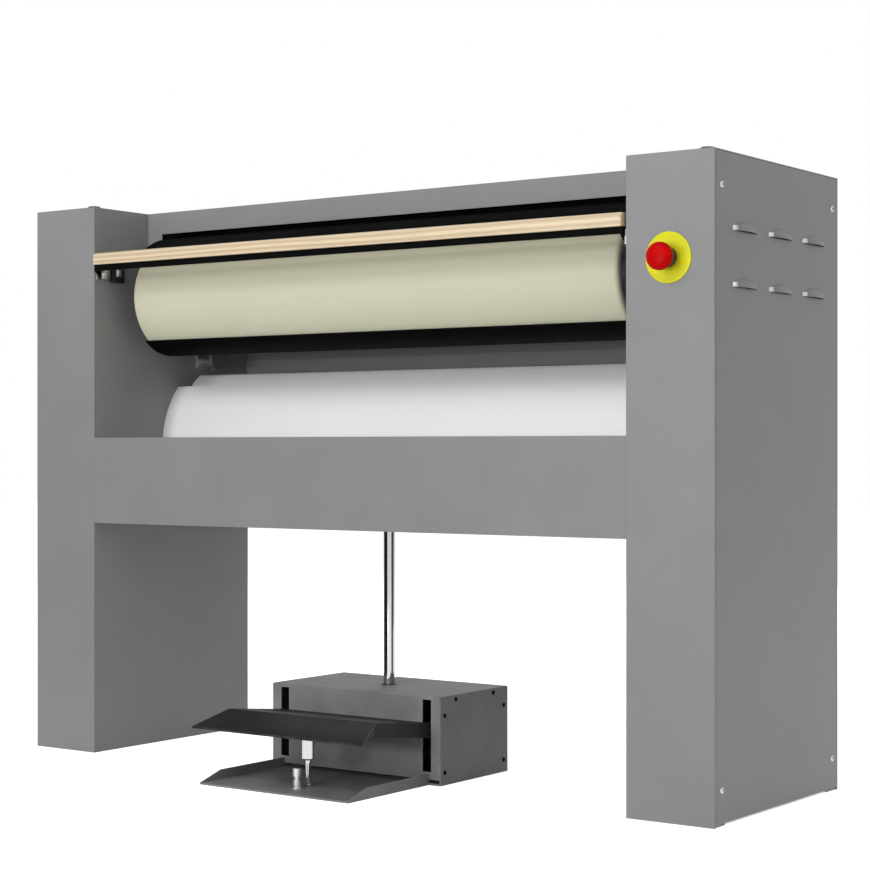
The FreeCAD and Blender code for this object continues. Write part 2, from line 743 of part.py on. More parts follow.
def roller_bearing(side):
    """A flange bearing: a square foot with cut corners and a round housing."""
    name = side_name(side) + "_roller_bearing"
    piece = body(name, side * bench_x, S.roller_setback, roller_height)
    half = S.bearing_flange / 2
    nick = half - S.bearing_corner
    corners = [(-nick, -half), (nick, -half), (half, -nick), (half, nick), (nick, half),
               (-nick, half), (-half, nick), (-half, -nick)]
    foot = polygon(sketch(piece, "YZ_Plane"), corners)
    pad(piece, foot, S.bearing_flange_sheet, back=side < 0)
    housing = circle(sketch(piece, "YZ_Plane"), 0, 0, S.bearing_radius)
    pad(piece, housing, S.bearing_length, back=side < 0)
    bore = circle(sketch(piece, "YZ_Plane"), 0, 0, S.journal_radius + S.running_gap)
    pocket(piece, bore)
    return piece


def roller_pulley():
    """A spoked-out pulley section: rim, web and hub round the right journal."""
    bore = S.journal_radius + S.fit_gap
    width = S.pulley_width
    rim = S.roller_pulley_radius - S.pulley_rim
    web = (width - S.pulley_web) / 2
    profile = [(0, bore), (0, S.pulley_hub_radius), (web, S.pulley_hub_radius), (web, rim),
               (0, rim), (0, S.roller_pulley_radius), (width, S.roller_pulley_radius),
               (width, rim), (width - web, rim), (width - web, S.pulley_hub_radius),
               (width, S.pulley_hub_radius), (width, bore)]
    piece = turned("roller_pulley", "x", pulley_x, S.roller_setback, roller_height, profile)
    node(piece, "roller_pulley")


# ---- drive in the right column --------------------------------------------------------


def motor_pulley():
    """The small pulley with the gearbox's output shaft."""
    radius = S.motor_pulley_radius
    shaft = S.output_radius
    start = bench_x + S.gearbox_thickness - S.output_grip - pulley_x
    profile = [(start, 0), (start, shaft), (0, shaft), (0, radius), (S.pulley_width, radius),
               (S.pulley_width, 0)]
    piece = turned("motor_pulley", "x", pulley_x, S.roller_setback,
                   roller_height - S.drive_drop, profile)
    node(piece, "motor_pulley")


def gearbox():
    """The worm gearbox: a block with cut corners and a bore for its output shaft."""
    half = S.gearbox_depth / 2
    nick = half - S.gearbox_corner
    piece = body("gearbox", bench_x, S.roller_setback, roller_height - S.drive_drop)
    corners = [(-nick, -half), (nick, -half), (half, -nick), (half, nick), (nick, half),
               (-nick, half), (-half, nick), (-half, -nick)]
    pad(piece, polygon(sketch(piece, "YZ_Plane"), corners), S.gearbox_thickness)
    bore = sketch(piece, "YZ_Plane", S.gearbox_thickness)
    circle(bore, 0, 0, S.output_radius + S.running_gap)
    pocket(piece, bore, S.output_grip + S.seam)
    node(piece, "gearbox")


def drive_motor():
    """The motor hangs under the gearbox: flange, ribbed barrel and fan cowl."""
    top = roller_height - S.drive_drop - S.gearbox_depth / 2
    x = bench_x + S.motor_offset
    cowl = S.motor_length - S.fan_cowl_length
    profile = [(0, 0), (0, S.motor_flange_radius), (-S.motor_flange, S.motor_flange_radius),
               (-S.motor_flange, S.motor_radius), (-cowl, S.motor_radius),
               (-cowl, S.fan_cowl_radius), (-S.motor_length, S.fan_cowl_radius),
               (-S.motor_length, 0)]
    barrel = turned("drive_motor_barrel", "z", x, S.roller_setback, top, profile)
    fins = []
    for number in range(int(float(S.motor_fins))):
        fin = add("Part::Box", "motor_fin")
        bind(fin, "Length", S.motor_radius + S.fin_rise)
        bind(fin, "Width", S.fin_width)
        bind(fin, "Height", S.fin_length)
        angle = 90 + (number + 0.5) * 180 / float(S.motor_fins)
        turn = FreeCAD.Rotation(FreeCAD.Vector(0, 0, 1), angle)
        fin.Placement = FreeCAD.Placement(FreeCAD.Vector(), turn)
        fins.append(seat(fin, x, S.roller_setback, top - S.motor_flange - S.fin_length))
    node(fuse("drive_motor", barrel, *fins), "drive_motor")


def belt_loop(name, gap, width):
    """The outline of a belt round both pulleys, as a solid: two discs and a tangent strip."""
    big = S.roller_pulley_radius + gap
    small = S.motor_pulley_radius + gap
    slope = (big - small) / S.drive_drop
    reach = root(1 - slope * slope)
    x = pulley_x + (S.pulley_width - S.belt_width) / 2
    low = roller_height - S.drive_drop
    strip = body(name + "_strip", x, S.roller_setback, low)
    high = S.drive_drop + big * slope
    corners = [(-small * reach, small * slope), (small * reach, small * slope),
               (big * reach, high), (-big * reach, high)]
    pad(strip, polygon(sketch(strip, "YZ_Plane"), corners), width)
    upper = rod(name + "_upper", "x", x, S.roller_setback, roller_height, big, width)
    lower = rod(name + "_lower", "x", x, S.roller_setback, low, small, width)
    return fuse(name, strip, upper, lower)


def drive_belt():
    outer = belt_loop("belt_outer", S.belt_gap + S.belt_thickness, S.belt_width)
    inner = belt_loop("belt_inner", S.belt_gap, S.belt_width)
    node(cut("drive_belt", outer, inner), "drive_belt")


def control_box():
    """The electrical box on the right frame plate, a thin folded case."""
    low = (bench_x, S.control_setback, S.control_low)
    high = (bench_x + S.control_width, S.control_setback + S.control_depth,
            S.control_low + S.control_height)
    wall = S.control_sheet
    outer = span_box("control_outer", low, high)
    inner = span_box("control_inner", [value + wall for value in low],
                     [value - wall for value in high])
    node(cut("control_box", outer, inner), "control_box")


# ---- heated shoe ----------------------------------------------------------------------


def axis_point():
    return S.roller_setback, roller_height


def heater_angles():
    count = int(float(S.heater_count))
    return [S.heater_first_angle + number * S.heater_step_angle for number in range(count)]


def heated_shoe():
    """The curved casting, with a bored rib on its back for each rod heater."""
    shell = sector("shoe_shell", axis_point(), shoe_inner, shoe_outer, -half_roller,
                   S.roller_length, S.shoe_start_angle, S.shoe_sweep_angle)
    ribs = []
    bores = []
    for angle in heater_angles():
        rib = add("Part::Box", "shoe_rib")
        bind(rib, "Length", S.roller_length)
        bind(rib, "Width", S.boss_width)
        bind(rib, "Height", S.boss_top - S.boss_root)
        turn = FreeCAD.Rotation(FreeCAD.Vector(1, 0, 0), 90 - float(angle))
        rib.Placement = FreeCAD.Placement(FreeCAD.Vector(), turn)
        s, z = on_ring(S.boss_root, angle)
        half = S.boss_width / 2
        ribs.append(seat(rib, -half_roller, s - half * sine(angle), z - half * cosine(angle)))
        s, z = on_ring(S.heater_ring, angle)
        bores.append(rod("shoe_bore", "x", -half_roller, s, z, S.heater_radius + S.fit_gap,
                         S.roller_length))
    casting = fuse("shoe_casting", shell, *ribs)
    node(cut("heated_shoe", casting, fuse("shoe_bores", *bores)), "heated_shoe")


def heating_elements():
    rods = []
    reach = half_roller - S.back_end_inset
    for angle in heater_angles():
        s, z = on_ring(S.heater_ring, angle)
        rods.append(rod("heater", "x", -reach, s, z, S.heater_radius, reach * 2))
    node(group("heating_elements", rods), "heating_elements")


def shoe_insulation():
    reach = half_roller - S.back_end_inset
    flange = S.back_flange_angle
    blanket = sector("shoe_insulation", axis_point(), S.insulation_inner, S.insulation_outer,
                     -reach, reach * 2, S.back_start_angle + 2 * flange,
                     S.back_sweep_angle - 4 * flange)
    node(blanket, "shoe_insulation")


def shoe_back_cover():
    """A curved sheet over the insulation, folded in to the casting at both ends."""
    reach = half_roller - S.back_end_inset
    inner = S.insulation_outer + S.fit_gap
    outer = inner + S.back_sheet
    flange = S.back_flange_angle
    skin = sector("back_skin", axis_point(), inner, outer, -reach, reach * 2, S.back_start_angle,
                  S.back_sweep_angle)
    folds = []
    for start in (S.back_start_angle, S.back_start_angle + S.back_sweep_angle - flange):
        folds.append(sector("back_fold", axis_point(), shoe_outer + S.fit_gap,
                            outer - S.back_sheet / 2, -reach, reach * 2, start, flange))
    node(fuse("shoe_back_cover", skin, *folds), "shoe_back_cover")


def shoe_arm(side):
    """A plate on the shoe's end that reaches down to the pivot, with its boss and shaft."""
    name = side_name(side) + "_shoe_arm"
    near = half_roller
    piece = body(name)
    plate = sketch(piece, "YZ_Plane", side * near)
    pivot = (S.shoe_pivot_setback, shoe_pivot_height)
    boss = S.pivot_boss_radius
    inner = shoe_inner + S.arm_sheet
    tuck = boss - S.weld_sink
    corners = [on_ring(inner, S.arm_top_angle), on_ring(shoe_outer, S.arm_top_angle),
               on_ring(shoe_outer + S.arm_overhang, S.arm_middle_angle), (pivot[0] + tuck, pivot[1]),
               (pivot[0] - tuck, pivot[1]), on_ring(inner, S.arm_low_angle),
               on_ring(inner, S.arm_middle_angle)]
    pad(piece, polygon(plate, corners), S.arm_sheet, back=side < 0)
    hub = circle(sketch(piece, "YZ_Plane", side * near), *pivot, boss)
    pad(piece, hub, S.pivot_boss_length, back=side < 0)
    shaft = circle(sketch(piece, "YZ_Plane", side * near), *pivot, S.pivot_shaft_radius)
    pad(piece, shaft, bench_x + S.pivot_shaft_end - near, back=side < 0)
    node(piece, name)


def shoe_pivot_flanges():
    """A flanged bush in each inner wall for the shoe's pivot shaft."""
    pivot = (S.shoe_pivot_setback, shoe_pivot_height)
    half_s = S.pivot_flange_width / 2
    half_z = S.pivot_flange_height / 2
    flanges = []
    for side in (-1, 1):
        start = inner_x - S.pivot_flange_sheet
        piece = body(side_name(side) + "_pivot_flange", side * start, *pivot)
        foot = rectangle(sketch(piece, "YZ_Plane"), (-half_s, -half_z), (half_s, half_z))
        pad(piece, foot, S.pivot_flange_sheet, back=side < 0)
        sleeve = circle(sketch(piece, "YZ_Plane"), 0, 0, S.pivot_bush_radius)
        pad(piece, sleeve, bench_x - start, back=side < 0)
        bore = circle(sketch(piece, "YZ_Plane"), 0, 0, S.pivot_shaft_radius + S.running_gap)
        pocket(piece, bore)
        flanges.append(piece)
    node(group("shoe_pivot_flanges", flanges), "shoe_pivot_flanges")


def lower_guide():
    """The curved guide under the roller, welded to a rod that runs between the columns."""
    inner = padding_radius + S.guide_gap
    outer = inner + S.guide_sheet
    plate = sector("guide_plate", axis_point(), inner, outer, -half_roller, S.roller_length,
                   S.guide_start_angle, S.guide_sweep_angle)
    s, z = on_ring(outer + S.guide_rod_radius - S.weld_sink, S.guide_start_angle)
    bar = rod("guide_rod", "x", -inner_x, s, z, S.guide_rod_radius, inner_x * 2)
    node(fuse("lower_guide", plate, bar), "lower_guide")


# ---- linkage --------------------------------------------------------------------------


def flat_lever(name, x, side, first, first_radius, second, second_radius, sheet, holes=()):
    """A flat lever: two round ends joined by tangent flanks, with any holes through it."""
    run = [float(second[i] - first[i]) for i in (0, 1)]
    length = math.hypot(*run)
    turn = math.degrees(math.atan2(run[1], run[0]))
    piece = body(name, side * x, first[0], first[1],
                 FreeCAD.Rotation(FreeCAD.Vector(1, 0, 0), turn))
    distance = root((second[0] - first[0]) * (second[0] - first[0])
                    + (second[1] - first[1]) * (second[1] - first[1]))
    slope = (first_radius - second_radius) / distance
    reach = root(1 - slope * slope)
    flank = [(first_radius * slope, first_radius * reach),
             (distance + second_radius * slope, second_radius * reach),
             (distance + second_radius * slope, -second_radius * reach),
             (first_radius * slope, -first_radius * reach)]
    pad(piece, polygon(sketch(piece, "YZ_Plane"), flank), sheet, back=side < 0)
    pad(piece, circle(sketch(piece, "YZ_Plane"), 0, 0, first_radius), sheet, back=side < 0)
    pad(piece, circle(sketch(piece, "YZ_Plane"), distance, 0, second_radius), sheet,
        back=side < 0)
    for place, radius in holes:
        hole = circle(sketch(piece, "YZ_Plane"), place * distance, 0, radius)
        pocket(piece, hole)
    return piece


def shoe_cranks():
    """In each column, a crank clamped on the shoe's pivot shaft, with its link pin."""
    pivot = (S.shoe_pivot_setback, shoe_pivot_height)
    tip = (S.shoe_pivot_setback - S.shoe_crank, shoe_pivot_height)
    cranks = []
    for side in (-1, 1):
        name = side_name(side) + "_shoe_crank"
        plate = flat_lever(name + "_plate", crank_x, side, pivot, S.pivot_boss_radius, tip,
                           S.crank_eye_radius, S.crank_sheet,
                           [(0, S.pivot_shaft_radius + S.fit_gap)])
        cranks.append(fuse(name, plate, crank_pin(name, side, tip)))
    node(group("shoe_cranks", cranks), "shoe_cranks")


def crank_pin(name, side, place):
    length = S.crank_sheet + S.crank_pin_length
    start = span(side, crank_x, crank_x + length)[0]
    return rod(name + "_pin", "x", start, place[0], place[1], S.crank_pin_radius, length)


def lift_links():
    upper = (S.shoe_pivot_setback - S.shoe_crank, shoe_pivot_height)
    lower = (S.torque_setback + S.torque_crank, torque_height)
    hole = S.crank_pin_radius + S.pivot_play
    links = []
    for side in (-1, 1):
        links.append(flat_lever(side_name(side) + "_lift_link", link_x, side, lower,
                                S.link_eye_radius, upper, S.link_eye_radius, S.link_sheet,
                                [(0, hole), (1, hole)]))
    node(group("lift_links", links), "lift_links")


def torque_shaft():
    """The cross shaft, with a crank at each end and the forked lever for the pull rod."""
    centre = (S.torque_setback, torque_height)
    end = crank_x + S.crank_sheet
    pieces = [rod("torque_bar", "x", -end, *centre, S.torque_radius, end * 2)]
    tip = (S.torque_setback + S.torque_crank, torque_height)
    for side in (-1, 1):
        name = side_name(side) + "_torque_crank"
        pieces.append(flat_lever(name, crank_x, side, centre, S.lever_hub_radius, tip,
                                 S.crank_eye_radius, S.crank_sheet))
        pieces.append(crank_pin(name, side, tip))
    eye = (S.rod_setback, torque_height + S.lever_rise)
    fork = S.rod_eye_sheet / 2 + S.lever_gap
    for start in (S.rod_x + fork, S.rod_x - fork - S.lever_sheet):
        pieces.append(flat_lever("rod_lever", start, 1, centre, S.lever_hub_radius, eye,
                                 S.lever_eye_radius, S.lever_sheet))
    reach = fork + S.lever_sheet
    pieces.append(rod("rod_lever_pin", "x", S.rod_x - reach, *eye, S.rod_pin_radius, reach * 2))
    node(fuse("torque_shaft", *pieces), "torque_shaft")


def torque_shaft_bushes():
    centre = (S.torque_setback, torque_height)
    bushes = []
    for side in (-1, 1):
        thickness = S.casing_sheet + S.frame_sheet
        profile = [(0, S.torque_radius + S.running_gap), (0, S.torque_bush_radius),
                   (thickness, S.torque_bush_radius), (thickness, S.torque_flange_radius),
                   (thickness + S.torque_flange, S.torque_flange_radius),
                   (thickness + S.torque_flange, S.torque_radius + S.running_gap)]
        points = [(side * x, radius) for x, radius in profile]
        bushes.append(turned("torque_bush", "x", side * inner_x, *centre, points))
    node(group("torque_shaft_bushes", bushes), "torque_shaft_bushes")


def pull_rod():
    """The chromed rod with a flat eye at each end."""
    lower = S.pedal_pivot_height + S.cross_bar_rise
    upper = torque_height + S.lever_rise
    bar = rod("pull_bar", "z", S.rod_x, S.rod_setback, lower + S.rod_neck, S.rod_radius,
              upper - lower - 2 * S.rod_neck)
    pieces = [bar]
    holes = []
    half = S.rod_eye_sheet / 2
    length = S.rod_neck + S.weld_sink
    for height, start, hole in ((lower, lower, S.cross_bar_radius),
                                (upper, upper - length, S.rod_pin_radius)):
        pieces.append(rod("rod_eye", "x", S.rod_x - half, S.rod_setback, height,
                          S.rod_eye_radius, half * 2))
        pieces.append(box("rod_neck", S.rod_x - half, S.rod_setback - S.rod_radius, start,
                          half * 2, S.rod_radius * 2, length))
        holes.append(rod("rod_hole", "x", S.rod_x - half, S.rod_setback, height,
                         hole + S.pivot_play, half * 2))
    solid = fuse("pull_rod_solid", *pieces)
    node(cut("pull_rod", solid, fuse("rod_holes", *holes)), "pull_rod")


# ---- pedal box ------------------------------------------------------------------------


def pedal_box_base():
    """Floor of the box and the tray in front of it, with turned-up sides and a rear wall."""
    half_tray = S.tray_width / 2
    inside = box_side - S.box_sheet
    thin = S.box_sheet
    piece = body("pedal_box_base", S.box_x)
    floor = sketch(piece, "XY_Plane")
    corners = [(-half_tray, -S.tray_reach), (half_tray, -S.tray_reach),
               (half_tray, S.box_setback), (inside, S.box_setback), (inside, box_back),
               (-inside, box_back), (-inside, S.box_setback), (-half_tray, S.box_setback)]
    pad(piece, polygon(floor, corners), S.tray_sheet)
    side = sketch(piece, "YZ_Plane", half_tray - S.tray_sheet)
    tapered = S.tray_taper - S.tray_reach
    profile = [(-S.tray_reach, 0), (S.box_setback, 0), (S.box_setback, S.tray_flange),
               (tapered, S.tray_flange), (-S.tray_reach, S.tray_sheet)]
    mirrored(piece, pad(piece, polygon(side, profile), S.tray_sheet))
    rear = sketch(piece, "XY_Plane")
    flange = S.box_flange
    outline = [(-inside, box_back - flange), (-inside + thin, box_back - flange),
               (-inside + thin, box_back - thin), (inside - thin, box_back - thin),
               (inside - thin, box_back - flange), (inside, box_back - flange),
               (inside, box_back), (-inside, box_back)]
    pad(piece, polygon(rear, outline), S.box_height - S.box_sheet)
    holes = sketch(piece, "YZ_Plane")
    for s, z in box_screw_places()[1]:
        circle(holes, s, z, S.box_screw_radius + S.fit_gap)
    pocket(piece, holes)
    node(piece, "pedal_box_base")


def box_screw_places():
    """Screws of one side plate: into the front panel, the rear wall and the lid."""
    front = S.box_setback + S.box_screw_inset
    back = box_back - S.box_screw_inset
    heights = (S.box_screw_low, S.box_height - S.box_screw_top_inset)
    lid = [(S.box_setback + S.lid_screw_inset, S.box_height - S.lid_screw_drop),
           (box_back - S.lid_screw_inset, S.box_height - S.lid_screw_drop)]
    return [(front, z) for z in heights], [(back, z) for z in heights], lid


def pedal_box_front():
    """The front panel, with a tall slot for each pedal arm and folded side flanges."""
    inside = box_side - S.box_sheet
    thin = S.box_sheet
    high = S.box_height - thin
    front = S.box_setback
    piece = body("pedal_box_front", S.box_x)
    outline = [(-inside, front), (inside, front), (inside, front + S.box_flange),
               (inside - thin, front + S.box_flange), (inside - thin, front + thin),
               (-inside + thin, front + thin), (-inside + thin, front + S.box_flange),
               (-inside, front + S.box_flange)]
    plan = sketch(piece, "XY_Plane", S.front_panel_low)
    pad(piece, polygon(plan, outline), high - S.front_panel_low)
    slots = sketch(piece, "XZ_Plane")
    near = (S.slot_spacing - S.slot_width) / 2
    far = (S.slot_spacing + S.slot_width) / 2
    rectangle(slots, (near, S.slot_low), (far, S.box_height - S.slot_top_margin))
    rectangle(slots, (-far, S.slot_low), (-near, S.box_height - S.slot_top_margin))
    pocket(piece, slots)
    holes = sketch(piece, "YZ_Plane")
    for s, z in box_screw_places()[0]:
        circle(holes, s, z, S.box_screw_radius + S.fit_gap)
    pocket(piece, holes)
    node(piece, "pedal_box_front")


def pedal_box_cover():
    """The lid: a flat top with a flange down inside each side plate."""
    thin = S.box_sheet
    high = S.box_height
    low = high - S.box_flange
    inside = box_side - thin
    piece = body("pedal_box_cover", S.box_x)
    rest = S.box_setback + S.box_flange + S.seam
    rest_back = box_back - S.box_flange - S.seam
    top = sketch(piece, "XY_Plane", high - thin)
    rectangle(top, (-box_side, S.box_setback), (box_side, box_back))
    circle(top, 0, S.rod_setback, S.bush_flange_radius - S.bush_flange)
    pad(piece, top, thin)
    flange = sketch(piece, "YZ_Plane", inside - thin)
    rectangle(flange, (rest, low), (rest_back, high - thin))
    for s, z in box_screw_places()[2]:
        circle(flange, s, z, S.box_screw_radius + S.fit_gap)
    mirrored(piece, pad(piece, flange, thin))
    node(piece, "pedal_box_cover")


def pedal_box_sides():
    plates = []
    for side in (-1, 1):
        low = span(side, box_side - S.box_sheet, box_side)[0]
        piece = body(side_name(side) + "_box_side", S.box_x)
        plate = sketch(piece, "YZ_Plane", low)
        rectangle(plate, (S.box_setback, 0), (box_back, S.box_height - S.box_sheet))
        for places in box_screw_places():
            for s, z in places:
                circle(plate, s, z, S.box_screw_radius + S.fit_gap)
        pad(piece, plate, S.box_sheet)
        plates.append(piece)
    node(group("pedal_box_sides", plates), "pedal_box_sides")


def pedal_box_screws():
    sizes = (S.box_screw_radius, S.box_screw_head_radius, S.box_screw_head_top,
             S.box_screw_head_height, S.box_screw_length)
    screws = []
    for side in (-1, 1):
        for places in box_screw_places():
            for s, z in places:
                x = S.box_x + side * box_side
                screws.append(screw("box_screw", side, x, s, z, sizes))
    node(group("pedal_box_screws", screws), "pedal_box_screws")


def rod_bush():
    """A flanged bush in the lid that guides the pull rod."""
    bore = S.rod_radius + S.running_gap
    body_radius = S.bush_flange_radius - S.bush_flange - S.fit_gap
    profile = [(-S.bush_length, bore), (-S.bush_length, body_radius), (0, body_radius),
               (0, S.bush_flange_radius), (S.bush_flange, S.bush_flange_radius),
               (S.bush_flange, bore)]
    piece = turned("rod_bush", "z", S.rod_x, S.rod_setback, S.box_height, profile)
    node(piece, "rod_bush")


# ---- pedal ----------------------------------------------------------------------------


def pedal_line(setback):
    """Height of the pedal's top face behind the bend: it runs down to the pivot."""
    run = S.bend_front + S.pedal_pivot_setback
    drop = S.bend_height - S.pedal_pivot_height - S.arm_height / 2
    return S.bend_height - drop * (setback + S.bend_front) / run


def foot_pedal():
    """Bent tread that flares to the front, and two arms that go into the box."""
    sheet = S.pedal_sheet
    half = S.pedal_width / 2
    flare = S.tread_width / 2
    rear = S.box_setback - S.pedal_rear_gap
    bend = -S.bend_front
    front = -S.tread_front
    piece = body("foot_pedal", S.box_x)
    plate = [(rear, pedal_line(rear)), (bend, S.bend_height), (bend, S.bend_height - sheet),
             (rear, pedal_line(rear) - sheet)]
    pad(piece, polygon(sketch(piece, "YZ_Plane"), plate), S.pedal_width, both_ways=True)
    tread = [(bend, S.bend_height), (front, S.tread_low), (front, S.tread_low - sheet),
             (bend, S.bend_height - sheet)]
    pad(piece, polygon(sketch(piece, "YZ_Plane"), tread), S.tread_width, both_ways=True)
    corners = sketch(piece, "XY_Plane")
    for side in (-1, 1):
        polygon(corners, [(side * half, bend), (side * (flare + sheet), bend),
                          (side * (flare + sheet), front), (side * flare, front)])
    pocket(piece, corners)
    tail = S.pedal_pivot_setback + S.arm_tail
    arm = [(bend, S.bend_height), (bend, S.bend_height - S.arm_height),
           (tail, pedal_line(tail) - S.arm_height), (tail, pedal_line(tail))]
    side_arm = polygon(sketch(piece, "YZ_Plane", half - sheet), arm)
    circle(side_arm, S.pedal_pivot_setback, S.pedal_pivot_height,
           S.pedal_shaft_radius + S.running_gap)
    mirrored(piece, pad(piece, side_arm, sheet))
    node(piece, "foot_pedal")


def pedal_shafts():
    """The fixed pivot shaft, and the bar between the arms that carries the rod's eye."""
    inside = box_side - S.box_sheet
    node(rod("pedal_pivot_shaft", "x", S.box_x - inside, S.pedal_pivot_setback,
             S.pedal_pivot_height, S.pedal_shaft_radius, inside * 2), "pedal_pivot_shaft")
    reach = S.pedal_width / 2 - S.pedal_sheet
    node(rod("pedal_cross_bar", "x", S.box_x - reach, S.rod_setback,
             S.pedal_pivot_height + S.cross_bar_rise, S.cross_bar_radius, reach * 2),
         "pedal_cross_bar")


def strut():
    """A bright strut under the tread: its cylinder slides on a rod that stands on the tray."""
    low = S.strut_low
    under = pedal_line(-S.strut_front + S.strut_radius) - S.pedal_sheet * 1.02
    top = under - S.strut_top_gap
    radius = S.strut_radius
    bore = S.strut_rod_radius + S.running_gap
    chamfer = S.strut_foot
    profile = [(0, bore), (0, radius - chamfer), (chamfer, radius), (top - low - chamfer, radius),
               (top - low, radius - chamfer), (top - low, 0), (S.strut_bore_depth, 0),
               (S.strut_bore_depth, bore)]
    node(turned("strut_cylinder", "z", S.strut_x, -S.strut_front, low, profile), "strut_cylinder")
    profile = [(0, 0), (0, S.strut_foot_radius), (S.strut_foot, S.strut_foot_radius),
               (S.strut_foot, S.strut_rod_radius), (S.strut_rod_length, S.strut_rod_radius),
               (S.strut_rod_length, 0)]
    node(turned("strut_rod", "z", S.strut_x, -S.strut_front, tray_top, profile), "strut_rod")


def switch_post():
    waist = S.post_waist_radius
    profile = [(0, 0), (0, S.post_foot_radius), (S.post_foot, S.post_foot_radius),
               (S.post_foot, S.post_radius), (S.post_waist_low, S.post_radius),
               (S.post_waist_low, waist), (S.post_waist_high, waist),
               (S.post_waist_high, S.post_radius), (S.post_height - tray_top, S.post_radius),
               (S.post_height - tray_top, 0)]
    node(turned("switch_post", "z", S.post_x, -S.post_front, tray_top, profile), "switch_post")


# ---- wooden finger guard --------------------------------------------------------------


def wooden_bar():
    piece = body("wooden_bar")
    front = -S.bar_front
    section = sketch(piece, "YZ_Plane")
    low = (front, bar_low)
    high = (front + S.bar_depth, bar_low + S.bar_height)
    nick = S.bar_round
    corners = [(low[0], low[1]), (high[0], low[1]), (high[0], high[1] - nick),
               (high[0] - nick, high[1]), (low[0] + nick, high[1]), (low[0], high[1] - nick)]
    pad(piece, polygon(section, corners), bar_half * 2, both_ways=True)
    node(piece, "wooden_bar")


def bar_carrier():
    """The steel angle under the wood, with a lug at each end for its pivot."""
    sheet = S.carrier_sheet
    front = S.carrier_inset - S.bar_front
    back = S.bar_depth - S.bar_front - S.carrier_inset
    high = bar_low
    piece = body("bar_carrier")
    angle = [(front, high - S.carrier_drop), (front + sheet, high - S.carrier_drop),
             (front + sheet, high - sheet), (back, high - sheet), (back, high), (front, high)]
    pad(piece, polygon(sketch(piece, "YZ_Plane"), angle), bar_half * 2, both_ways=True)
    lug = sketch(piece, "YZ_Plane", bar_half - S.lug_sheet)
    pivot = (S.guard_pivot_setback, guard_pivot_height)
    radius = S.lug_radius
    corners = [(front, high - sheet), (front, high - S.carrier_drop),
               (pivot[0] - radius, pivot[1] - radius), (pivot[0] + radius, pivot[1] - radius),
               (pivot[0] + radius, pivot[1]), (back, high - sheet)]
    polygon(lug, corners)
    circle(lug, *pivot, S.guard_pin_radius + S.running_gap)
    mirrored(piece, pad(piece, lug, S.lug_sheet))
    node(piece, "bar_carrier")


def guard_bar_brackets():
    """Zinc-plated brackets on the inner walls, each with the pin that the guard tilts on."""
    pivot = (S.guard_pivot_setback, guard_pivot_height)
    brackets = []
    for side in (-1, 1):
        near = inner_x - S.bracket_sheet
        name = side_name(side) + "_guard_bracket"
        low, high = span(side, near, inner_x)
        half_s = S.bracket_width / 2
        half_z = S.bracket_height / 2
        plate = span_box(name + "_plate", (low, pivot[0] - half_s, pivot[1] - half_z),
                         (high, pivot[0] + half_s, pivot[1] + half_z))
        tip = bar_half - S.lug_sheet
        start, end = span(side, tip, inner_x)
        pivot_pin = rod(name + "_pin", "x", start, *pivot, S.guard_pin_radius, end - start)
        brackets.append(fuse(name, plate, pivot_pin))
    node(group("guard_bar_brackets", brackets), "guard_bar_brackets")


def guard_bar_switches():
    switches = []
    for side in (-1, 1):
        low, high = span(side, inner_x - S.switch_depth, inner_x)
        switches.append(span_box(side_name(side) + "_guard_switch",
                                 (low, S.switch_setback, roller_height + S.switch_rise),
                                 (high, S.switch_setback + S.switch_width,
                                  roller_height + S.switch_rise + S.switch_height)))
    node(group("guard_bar_switches", switches), "guard_bar_switches")


# ---- emergency stop -------------------------------------------------------------------


def emergency_stop():
    """Round plate, collar, stem with its head, and the contact block behind the panel."""
    hole = S.stop_hole_radius
    plate = S.stop_plate
    bevel = plate / 4
    place = (stop_x, 0, roller_height + S.stop_rise)
    profile = [(0, hole), (0, S.stop_plate_radius), (-plate + bevel, S.stop_plate_radius),
               (-plate, S.stop_plate_radius - bevel), (-plate, hole)]
    node(turned("stop_plate", "y", *place, profile), "stop_plate")
    bore = S.stem_radius + S.fit_gap
    neck = hole - S.fit_gap
    back = S.casing_sheet
    profile = [(back, bore), (back, neck), (-plate, neck), (-plate, S.collar_radius),
               (-S.collar_front + bevel, S.collar_radius),
               (-S.collar_front, S.collar_radius - bevel), (-S.collar_front, bore)]
    node(turned("stop_collar", "y", *place, profile), "stop_collar")
    back = -S.head_back
    tip = back - S.head_socket + S.fit_gap
    profile = [(S.stem_reach, 0), (S.stem_reach, S.stem_radius), (back, S.stem_radius),
               (back, S.spigot_radius), (tip, S.spigot_radius), (tip, 0)]
    node(turned("stop_stem", "y", *place, profile), "stop_stem")
    socket = S.spigot_radius + S.running_gap
    floor = back - S.head_socket
    front = -S.head_front
    rim = back - S.head_rim
    profile = [(back, socket), (back, S.head_neck), (rim + S.head_rim / 3, S.head_radius),
               (rim - S.head_rim / 3, S.head_radius), (front + 3, S.head_radius * 0.8),
               (front + 0.8, S.head_radius * 0.5), (front, 0), (floor, 0), (floor, socket)]
    node(turned("stop_head", "y", *place, profile), "stop_head")
    half = S.block_width / 2
    piece = body("stop_contact_block", stop_x, S.casing_sheet, roller_height + S.stop_rise)
    block = rectangle(sketch(piece, "XZ_Plane"), (-half, -half), (half, half))
    pad(piece, block, S.block_depth, back=True)
    bore = circle(sketch(piece, "XZ_Plane"), 0, 0, S.stem_radius + S.fit_gap)
    pocket(piece, bore, S.block_bore)
    node(piece, "stop_contact_block")


